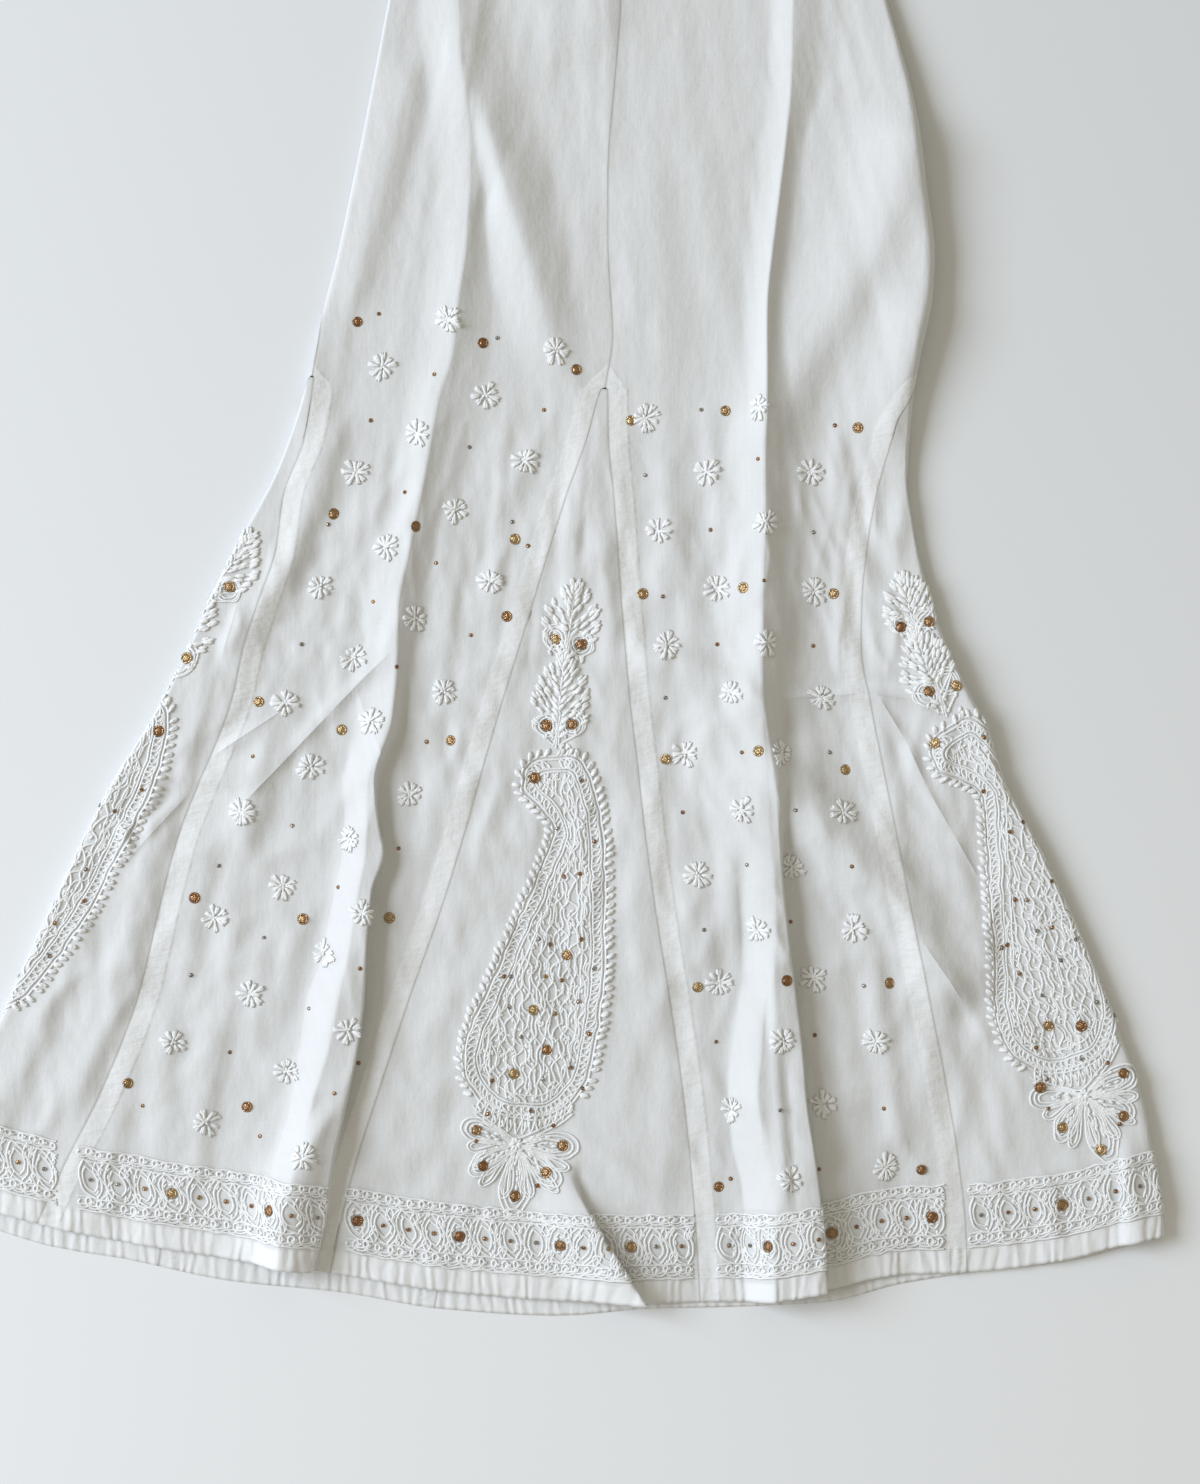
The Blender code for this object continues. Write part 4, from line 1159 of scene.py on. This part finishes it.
def sewFlower(sewn, u0, drop0):
    # padded petals of three fat stitches each, round as they lie on the slope of the cloth
    runU = np.arange(u0 - 40, u0 + 40, 0.5)
    run = runOf(runU, drop0)
    here = np.interp(u0, runU, run)
    petals = int(chance.integers(*petal["count"]))
    turn = chance.uniform(0, 2 * math.pi)
    for k in range(petals):
        angle = turn + 2 * math.pi * (k + chance.normal(0, 0.11)) / petals
        reach = petal["length"] * chance.uniform(*petal["lengths"])
        for side, share, wide in ((0, 1.0, 1.2), (-1, 0.7, 0.9), (1, 0.62, 0.9)):
            share *= chance.uniform(0.7, 1.2)
            bend = angle + side * chance.uniform(0.06, 0.17)
            middle = 0.2 + reach * (1 - share / 2) * (1 if side else 0.98) + chance.normal(0, 0.3)
            across, down = middle * heading(bend)
            sewn.grain((np.interp(here + across, run, runU), drop0 + down),
                       heading(angle + side * 0.12), reach * share,
                       petal["width"] * wide * chance.uniform(*petal["widths"]), petal["lift"])
    for way in map(heading, turn + np.arange(0.4, 6, 2.1)):
        sewn.grain((u0, drop0) + 1.4 * way, way, 3.4, 2.2, 0.8)


# heights over the hem: chains with their loops and ring, lines with their wave; then for each
# piece the room left at both ends and the place of its first large sequin
border = {
    "pitch": 19.6, "leafHeight": 28.0, "leafWidth": 16.5, "tilt": -0.3, "leafFoot": 28.5,
    "chains": [(61.4, 3.6, 8.2), (23.6, 4.2, 8.6)],
    "lines": [(65.6, 0.25), (56.4, 0.3), (28.6, 0.3), (18.6, 0.35)],
    "middle": 42.0, "largeEvery": 4, "unevenness": 0.9,
    "pieces": {"front_left_panel": (12.5, 16, 1), "front_right_panel": (14, 15, 2),
               "front_godet": (2, 2, 0), "left_godet": (2, 2, 3), "right_godet": (2, 2, 1)},
}


def sewBorder(sewn, last, phase):
    # in millimetres along the cloth and height over the hem
    def within(line, thick):
        for run in keptRuns(line, (line[:, 0] > 0) & (line[:, 0] < last)):
            sewn.line(run, thick)
    for height, loops, ring in border["chains"]:
        t = np.arange(0, last / ring * 2 * math.pi, 0.5)
        wander = 0.5 * np.sin(t / 7.3 + phase)
        x = ring * t / (2 * math.pi) - 3.9 * np.sin(t) + 0.9 * np.sin(t / 3.1)
        within(together(x, height + loops * 0.9 * np.cos(t) + wander), 1.05)
        within(together(x + 2.4, height + 0.42 * loops * np.cos(t + 0.8) + wander), 0.85)
    x = np.arange(0, last, thread["step"])
    for height, wave in border["lines"]:
        within(together(x, height + wave * np.sin(x / 2.6 + height)), 1.1)
    cells = round(last / border["pitch"])
    pitch, rise = last / cells, border["leafHeight"] / 2
    for cell in range(cells):
        half = np.array([border["tilt"] * rise * chance.uniform(0.75, 1.25), rise])
        middle = np.array([pitch * (cell + 0.5), border["leafFoot"] + rise])
        for scale, thick in ((1.0, 1.3), (0.66, 0.95)):
            width = border["leafWidth"] / 2 * scale + chance.normal(0, 0.3)
            for side in (quarterTurn(unit(half)) * width, quarterTurn(unit(half)) * -width):
                arc = [middle + half * scale * at + side * out for at, out in (
                    (-1, 0), (-0.58, 0.78), (0, 1), (0.58, 0.72), (1.05, 0))]
                within(smoothLine(arc), thick)
        # a crossing stem, small loops and loose stitches between two leaves
        foot, head, gap = middle - half, middle + half, middle + (pitch / 2, 0)
        stem = [foot + (3, 0), foot + (9, 7), gap, head + (11, -7), head + (16, 0)]
        within(smoothLine(stem), 0.95)
        for end, way in ((head, 1), (foot, -1)):
            corner = end + (pitch / 2, -way * 1.5)
            within(teardrop(corner + (0, way * 2.0), corner - (0, way * 7.5), 6.0), 0.9)
        for _ in range(11):
            spot = gap + chance.uniform(-1, 1, 2) * (6, 14)
            if 2 < spot[0] < last - 2:
                sewn.grain(spot, (chance.normal(0, 0.5), 1), 5.0, 2.2, 0.4)
        large = (cell + phase) % border["largeEvery"] == 0
        sewn.disc(middle, sequinRadius["large" if large else "small"], 1.2)
        if large:
            for way in map(heading, np.arange(0, 6.2, 0.785)):
                sewn.grain(middle + 6 * way, quarterTurn(way), 4.6, 2.0, 0.4)


def dropFromHem(u, height):
    # the drop at a height over the hem
    drop = np.full(np.shape(u), 960.0)
    for _ in range(7):
        drop = hemDrop(u, drop) - height
    return drop


sewnOn = {name: Stitching() for name in border["pieces"]}
for name, godet in godets.items():
    plain = Stitching()
    sewMotif(plain)
    plain.roughen(motif["unevenness"], 31)
    if godet["sequins"]:
        plain.discs = [disc for disc in plain.discs if disc[2] < sequinRadius["large"]]

    def placed(x, drop):
        # the leaves move away from the paisley below them
        (a, b, c), (d, e, f), (shiftX, shiftDrop, closer) = (
            godet["x"], godet["drop"], godet["leafShift"])
        share = passed(-drop, -leaves["shiftAbove"], leaves["shiftOver"])
        drop = drop + closer * np.maximum(leaves["closeAbove"] - drop, 0)
        return a + b * x + c * drop + shiftX * share, d + e * x + f * drop + shiftDrop * share

    def turned(dx, dd):
        return [b * dx + c * dd for _, b, c in (godet["x"], godet["drop"])]
    sewnOn[name].takeOver(plain, placed, turned)
    for x, drop in godet["sequins"]:
        sewnOn[name].disc((float(planU(x, drop)), drop), sequinRadius["large"], 1.3)

for name, centres in flowers.items():
    xs, drops = np.array(centres, float).T
    for u, drop in zip(planU(xs, drops), drops):
        sewFlower(sewnOn[name], u, drop)
for places, size in ((sequins, "largeOnPanel"), (spangles, "smallOnPanel")):
    for name, centres in places.items():
        xs, drops = np.array(centres, float).T
        for place in zip(planU(xs, drops), drops):
            sewnOn[name].disc(place, sequinRadius[size], 0.3)

middleRow = int(np.argmin(np.abs(rows.overHem - border["middle"]))) - len(rows.overHem)
for name, (before, after, phase) in border["pieces"].items():
    start, end = grids[name][0][middleRow, [0, -1]]
    runU = np.arange(start + before, end - after, 0.5)
    run = runOf(runU, dropFromHem(runU, border["middle"]))
    plain = Stitching()
    sewBorder(plain, run[-1], phase)
    plain.roughen(border["unevenness"], 41 + phase)

    def overTheHem(x, height):
        u = np.interp(x, run, runU)
        return u, dropFromHem(u, height)
    sewnOn[name].takeOver(plain, overTheHem, lambda dx, dd: (dx, -dd))


def shows(places):
    return planPlace(places[:, 0], places[:, 1])[1] < 0.5


# nothing is sewn where the cloth has turned well under
for sewn in sewnOn.values():
    sewn.lines = [(run, thick) for line, thick in sewn.lines
                  for run in keptRuns(line, shows(line), 2)]
    for kind in ("grains", "discs"):
        values = np.array(getattr(sewn, kind))
        setattr(sewn, kind, values[shows(values)])


def stitchShadeAmount(sewn, u, drop):
    # how thickly the cloth is covered with stitches, 0 to 1, on a 2 mm grid smoothed a little,
    # which sets the painted shade among the threads
    spots = np.concatenate([line for line, _ in sewn.lines] + [sewn.grains[:, :2]])
    count, _, _ = np.histogram2d(*spots.T, bins=(700, 350), range=((-700, 700), (400, 1100)))
    for _ in range(2):
        for axis in (0, 1):
            count = (np.roll(count, 1, axis) + count + np.roll(count, -1, axis)) / 3
    i = np.clip((u / 2 + 350).astype(int), 0, 699)
    j = np.clip((drop / 2 - 200).astype(int), 0, 349)
    return np.clip(count[i, j] / 0.9, 0, 1) * (drop > 400)


print("cloth")
pieces = {}


def addPiece(name, points, thickness, fields, width, length, area):
    # fields is place, seams and sewn, where sewn sets the painted shade among the threads, and the
    # sizes are in millimetres
    named = dict(zip(("place", "seams", "sewn"), fields))
    obj = sheetPiece(name + "_cloth", points, named, whiteCotton, thickness)
    pieces[name] = SimpleNamespace(obj=obj, extras=[], area=float(area) / 1e6,
                                   flat=(float(width) / 1000, float(length) / 1000))


for name, (u, drop) in grids.items():
    x, z, under = surface(u, drop, True)
    fromLeft, fromRight = u - u[:, :1], u[:, -1:] - u
    dip = sum(np.exp(-(away / lay["seamDipReach"]) ** 2) for away in (fromLeft, fromRight))
    z = np.maximum(z - lay["seamDip"] * dip * (1 - under), lay["underMiddle"])
    allowance = passed(drop, *clothLook["allowanceFrom"]) if name.endswith("panel") else 0
    # the stitch cover, used as painted shade in the cloth's colour
    sewn = stitchShadeAmount(sewnOn[name], u, drop) if name in sewnOn else u * 0
    widths, middles = u[:, -1] - u[:, 0], drop.mean(axis=1)
    addPiece(name, toRow(x, drop, z), lay["thickness"],
             (together(u, drop, hemDrop(u, drop) - drop),
              together(fromLeft, fromRight, allowance), sewn),
             widths.max(), drop.max() - drop.min(),
             (widths * np.diff(middles, prepend=middles[0])).sum())

print("waistband")
# channels: drop, depth and reach of the stitched lines
band = {"thickness": 1.6, "gatherPitch": 9.0, "gatherDepth": 1.0, "raised": 0.6,
        "channels": [(17, 0.6, 1.2), (4, 0.6, 1.0)], "rows": 13, "columns": (260, 90)}
bandDrop = np.linspace(0, lay["bandDrop"], band["rows"])
seamLeft, seamRight = (rollU(side, bandDrop, lay["sideSeamTurn"]) for side in sides)
backEnd = undersideU("right", roll("left", bandDrop).start, bandDrop)
for name, start, end, columns in zip(("waistband_front", "waistband_back"),
                                     (seamLeft, seamRight), (seamRight, backEnd),
                                     band["columns"]):
    u = start[:, None] + (end - start)[:, None] * np.linspace(0, 1, columns)
    drop = np.repeat(bandDrop[:, None], columns, axis=1)
    x, z, under = surface(u, drop)
    gather = np.sin(u * 2 * math.pi / band["gatherPitch"] + 2.5 * softNoise(u / 30, drop / 50, 21))
    channel = sum(depth * np.exp(-((drop - at) / reach) ** 2)
                  for at, depth, reach in band["channels"])
    fades = ease((0.12 - under) / 0.12)
    z = z + (band["gatherDepth"] * gather - channel) * fades + band["raised"]
    width = (end - start).max()
    addPiece(name, toRow(x, drop, z), band["thickness"],
             (together(u, drop, 200), together(u * 0 + 50, 50, 0), u * 0),
             width, lay["bandDrop"], width * lay["bandDrop"])


# Geometry node trees: thread along lines, padded stitches, sequins
def startTree(name, inputs):
    tree = bpy.data.node_groups.new(name, "GeometryNodeTree")
    for label, (kind, value) in {"Geometry": ("NodeSocketGeometry", None), **inputs}.items():
        socket = tree.interface.new_socket(label, in_out="INPUT", socket_type=kind)
        if value is not None:
            socket.default_value = value
    tree.interface.new_socket("Geometry", in_out="OUTPUT", socket_type="NodeSocketGeometry")
    entry = tree.nodes.new("NodeGroupInput")
    return Wire(tree), {socket.name: Wire(tree, socket) for socket in entry.outputs if socket.name}


def endTree(shape, material):
    real = shape.node("GeometryNodeRealizeInstances", None, {0: shape})
    smooth = shape.node("GeometryNodeSetShadeSmooth", None, {0: real})
    painted = shape.node("GeometryNodeSetMaterial", None, {0: smooth, "Material": material})
    painted.into(shape.tree.nodes.new("NodeGroupOutput"), 0)
    return shape.tree


def namedValue(wire, name, kind):
    return wire.node("GeometryNodeInputNamedAttribute", {"data_type": kind}, {"Name": name})


def threadTree():
    wire, given = startTree("threadLines", {
        "Width": ("NodeSocketFloat", thread["width"] / 1000), "Sides": ("NodeSocketInt", 4),
        "Bead": ("NodeSocketFloat", thread["bead"]), "Material": ("NodeSocketMaterial", None)})
    curve = wire.node("GeometryNodeMeshToCurve", None, {0: given["Geometry"]})
    index = wire.node("GeometryNodeInputIndex")
    thick = namedValue(wire, "thick", "FLOAT")
    radius = thick * (1 - wire.math("MODULO", index, 2.0) * given["Bead"])
    curve = wire.node("GeometryNodeSetCurveRadius", None, {"Curve": curve, "Radius": radius})
    profile = wire.node("GeometryNodeCurvePrimitiveCircle", None,
                        {"Resolution": given["Sides"], "Radius": given["Width"] / 2})
    tube = wire.node("GeometryNodeCurveToMesh", None,
                     {"Curve": curve, "Profile Curve": profile, "Fill Caps": True})
    return endTree(tube, given["Material"])


def instanceTree(name, shape):
    wire, given = startTree(name, {"Material": ("NodeSocketMaterial", None)})
    turn = namedValue(wire, "turn", "FLOAT_VECTOR")
    placed = wire.node("GeometryNodeInstanceOnPoints", None, {
        "Points": given["Geometry"], "Instance": shape(wire),
        "Rotation": wire.node("FunctionNodeEulerToRotation", None, {0: turn}),
        "Scale": namedValue(wire, "size", "FLOAT_VECTOR")})
    return endTree(placed, given["Material"])


def grainShape(wire):
    return wire.node("GeometryNodeMeshUVSphere", None, {"Segments": 6, "Rings": 5, "Radius": 1.0})


def discShape(wire):
    # a cupped ring round a faceted filling, one unit in radius
    ring, profile = (wire.node("GeometryNodeCurvePrimitiveCircle", None,
                               {"Resolution": sides, "Radius": radius})
                     for sides, radius in ((16, 0.8), (5, 0.2)))
    rim = wire.node("GeometryNodeCurveToMesh", None, {"Curve": ring, "Profile Curve": profile})
    ball = wire.node("GeometryNodeMeshIcoSphere", None, {"Radius": 0.7, "Subdivisions": 2})
    bead = wire.node("GeometryNodeTransform", None, {"Geometry": ball, "Scale": (1.0, 1.0, 0.42)})
    both = wire.node("GeometryNodeJoinGeometry", None, {0: rim})
    bead.into(both.socket.node, 0)
    return both


threadLook = {"white": (0.86, 0.868, 0.868, 1), "shade": (0.775, 0.78, 0.775, 1),
              "roughness": 0.75}
sequinLook = {"gold": (0.47, 0.34, 0.185, 1), "copper": (0.30, 0.165, 0.085, 1),
              "grey": (0.32, 0.29, 0.26, 1), "roughness": 0.3, "metallic": 0.9}


def threadMaterial(name):
    material, wire, shader = newMaterial(name, threadLook["roughness"])
    where = wire.node("ShaderNodeTexCoord", out=3)
    twist = wire.node("ShaderNodeTexNoise", None, {"Vector": where, "Scale": 900.0, "Detail": 1.0})
    colour = twist.ramp(0.3, 0.65).mix(threadLook["shade"], threadLook["white"])
    colour.into(shader, "Base Color")
    wire.bump(twist, 0.5, 0.0004).into(shader, "Normal")
    return material


def sequinMaterial(name):
    material, wire, shader = newMaterial(name, sequinLook["roughness"])
    shade = wire.field("shade")
    where = wire.node("ShaderNodeTexCoord", out=3)
    facets = wire.node("ShaderNodeTexVoronoi", None, {"Vector": where, "Scale": 1100.0})
    colour = shade.ramp(0.0, 1.0).mix(sequinLook["gold"], sequinLook["copper"])
    shade.ramp(1.0, 1.4).mix(colour, sequinLook["grey"]).into(shader, "Base Color")
    wire.bump(facets, 0.7, 0.0005).into(shader, "Normal")
    shader.inputs["Metallic"].default_value = sequinLook["metallic"]
    return material


def treePiece(name, points, edges, fields, tree, material):
    obj = linked(name, meshWith(name, points, edges, [], fields))
    maker = obj.modifiers.new(tree.name, "NODES")
    maker.node_group = tree
    for item in tree.interface.items_tree:
        if item.name == "Material":
            maker[item.identifier] = material
    return baked(obj, name)


def facing(across, down, normal, dx, dd):
    # Euler angles that turn local X along the stitch and local Z off the cloth
    forward = unit(across * dx[:, None] + down * dd[:, None])
    sideways = np.cross(normal, forward)
    return together(np.arctan2(sideways[:, 2], normal[:, 2]),
                    np.arcsin(np.clip(-forward[:, 2], -1, 1)),
                    np.arctan2(forward[:, 1], forward[:, 0]))


print("embroidery")
threadLines = threadTree()
stitches, discs = instanceTree("stitches", grainShape), instanceTree("discs", discShape)
threadWhite, antiqueGold = threadMaterial("embroideryThread"), sequinMaterial("antiqueGold")
for name, sewn in sewnOn.items():
    places = np.concatenate([line for line, _ in sewn.lines])
    thick = np.concatenate([np.full(len(line), width) for line, width in sewn.lines])
    points, *_ = onCloth(*places.T, 0.3 + 0.25 * (thick - 0.8))
    starts = {int(start) for start in np.cumsum([len(line) for line, _ in sewn.lines])}
    edges = [(k - 1, k) for k in range(1, len(places)) if k not in starts]
    threads = treePiece(name + "_threads", points, edges, {"thick": thick}, threadLines,
                        threadWhite)
    u, drop, dx, dd, length, width, lift = sewn.grains.T
    points, *axes = onCloth(u, drop, lift)
    height = np.minimum(width, 1.5) * thread["grainHeight"]
    fields = {"turn": facing(*axes, dx, dd), "size": together(length, width, height) / 1000}
    padded = treePiece(name + "_stitches", points, [], fields, stitches, threadWhite)
    u, drop, radius, lift = sewn.discs.T
    points, *axes = onCloth(u, drop, lift)
    spin = chance.uniform(0, 2 * math.pi, len(u))
    radius = radius * chance.uniform(0.93, 1.05, len(u))
    shade = chance.uniform(0, 1, len(u)) + (radius < 2.5) * chance.uniform(0.2, 0.9, len(u))
    fields = {"turn": facing(*axes, np.cos(spin), np.sin(spin)), "shade": shade,
              "size": together(radius, radius, np.minimum(radius, 2.6) * 0.9) / 1000}
    gold = treePiece(name + "_sequins", points, [], fields, discs, antiqueGold)
    pieces[name].extras = [threads, padded, gold]
    print(name, *(len(part.data.polygons) for part in pieces[name].extras))

for name, piece in pieces.items():
    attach(piece.obj, "root")
    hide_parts(name)
    "waistband_cotton" if "waistband" in name else "white_cotton"
    for part in piece.extras:
        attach(part, "root")
    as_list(piece.extras)

print("table, light and camera")
stage = {
    # the table's two colours and their fade are painted light, darker at the top of the frame and
    # lighter at the bottom
    "floorShadedTop": (0.715, 0.733, 0.745, 1), "floorLitBottom": (0.828, 0.845, 0.86, 1),
    "floorSize": 9, "floorDrop": 0.0004, "floorLightFade": (0.75, -0.85), "floorRoughness": 0.7,
    "keyColour": (0.80, 0.88, 1.0), "keyPower": 333.0, "keyPlace": (-4.4, 0.75, 3.15),
    "keySize": 3.2, "fill": (1.0, 0.925, 0.76, 1), "fillPower": 0.43,
    "cameraPlace": (0.039, -0.1025, 2.605), "cameraHeight": 2.6, "frameHeight": 1.113,
}
bpy.ops.mesh.primitive_plane_add(size=stage["floorSize"], location=(0, 0, -stage["floorDrop"]))
floor = bpy.context.object
floor.name = "table"
floorPaint, wire, shader = newMaterial("paleTable", stage["floorRoughness"])
# painted light: the table is lighter towards the bottom of the frame and darker towards the top, as
# the room light falls on it
_, along, _ = wire.node("ShaderNodeTexCoord", out=3).split()
paint = along.ramp(*stage["floorLightFade"]).mix(stage["floorShadedTop"], stage["floorLitBottom"])
paint.into(shader, "Base Color")
floor.data.materials.append(floorPaint)

world = bpy.data.worlds.new("softRoom")
bpy.context.scene.world = world
world.use_nodes = True
background = world.node_tree.nodes["Background"]
background.inputs["Color"].default_value = stage["fill"]
background.inputs["Strength"].default_value = stage["fillPower"]

lamp = bpy.data.lights.new("windowLight", "AREA")
lamp.energy, lamp.color, lamp.size = stage["keyPower"], stage["keyColour"], stage["keySize"]
key = linked("windowLight", lamp)
key.location = stage["keyPlace"]
key.rotation_euler = (key.location * -1).to_track_quat("-Z", "Y").to_euler()

camera = bpy.data.cameras.new("camera")
camera.lens = camera.sensor_width * stage["cameraHeight"] / stage["frameHeight"]
camera.clip_end = 50
view = linked("camera", camera)
view.location = stage["cameraPlace"]
bpy.context.scene.camera = view
bpy.context.scene.view_settings.view_transform = "Standard"
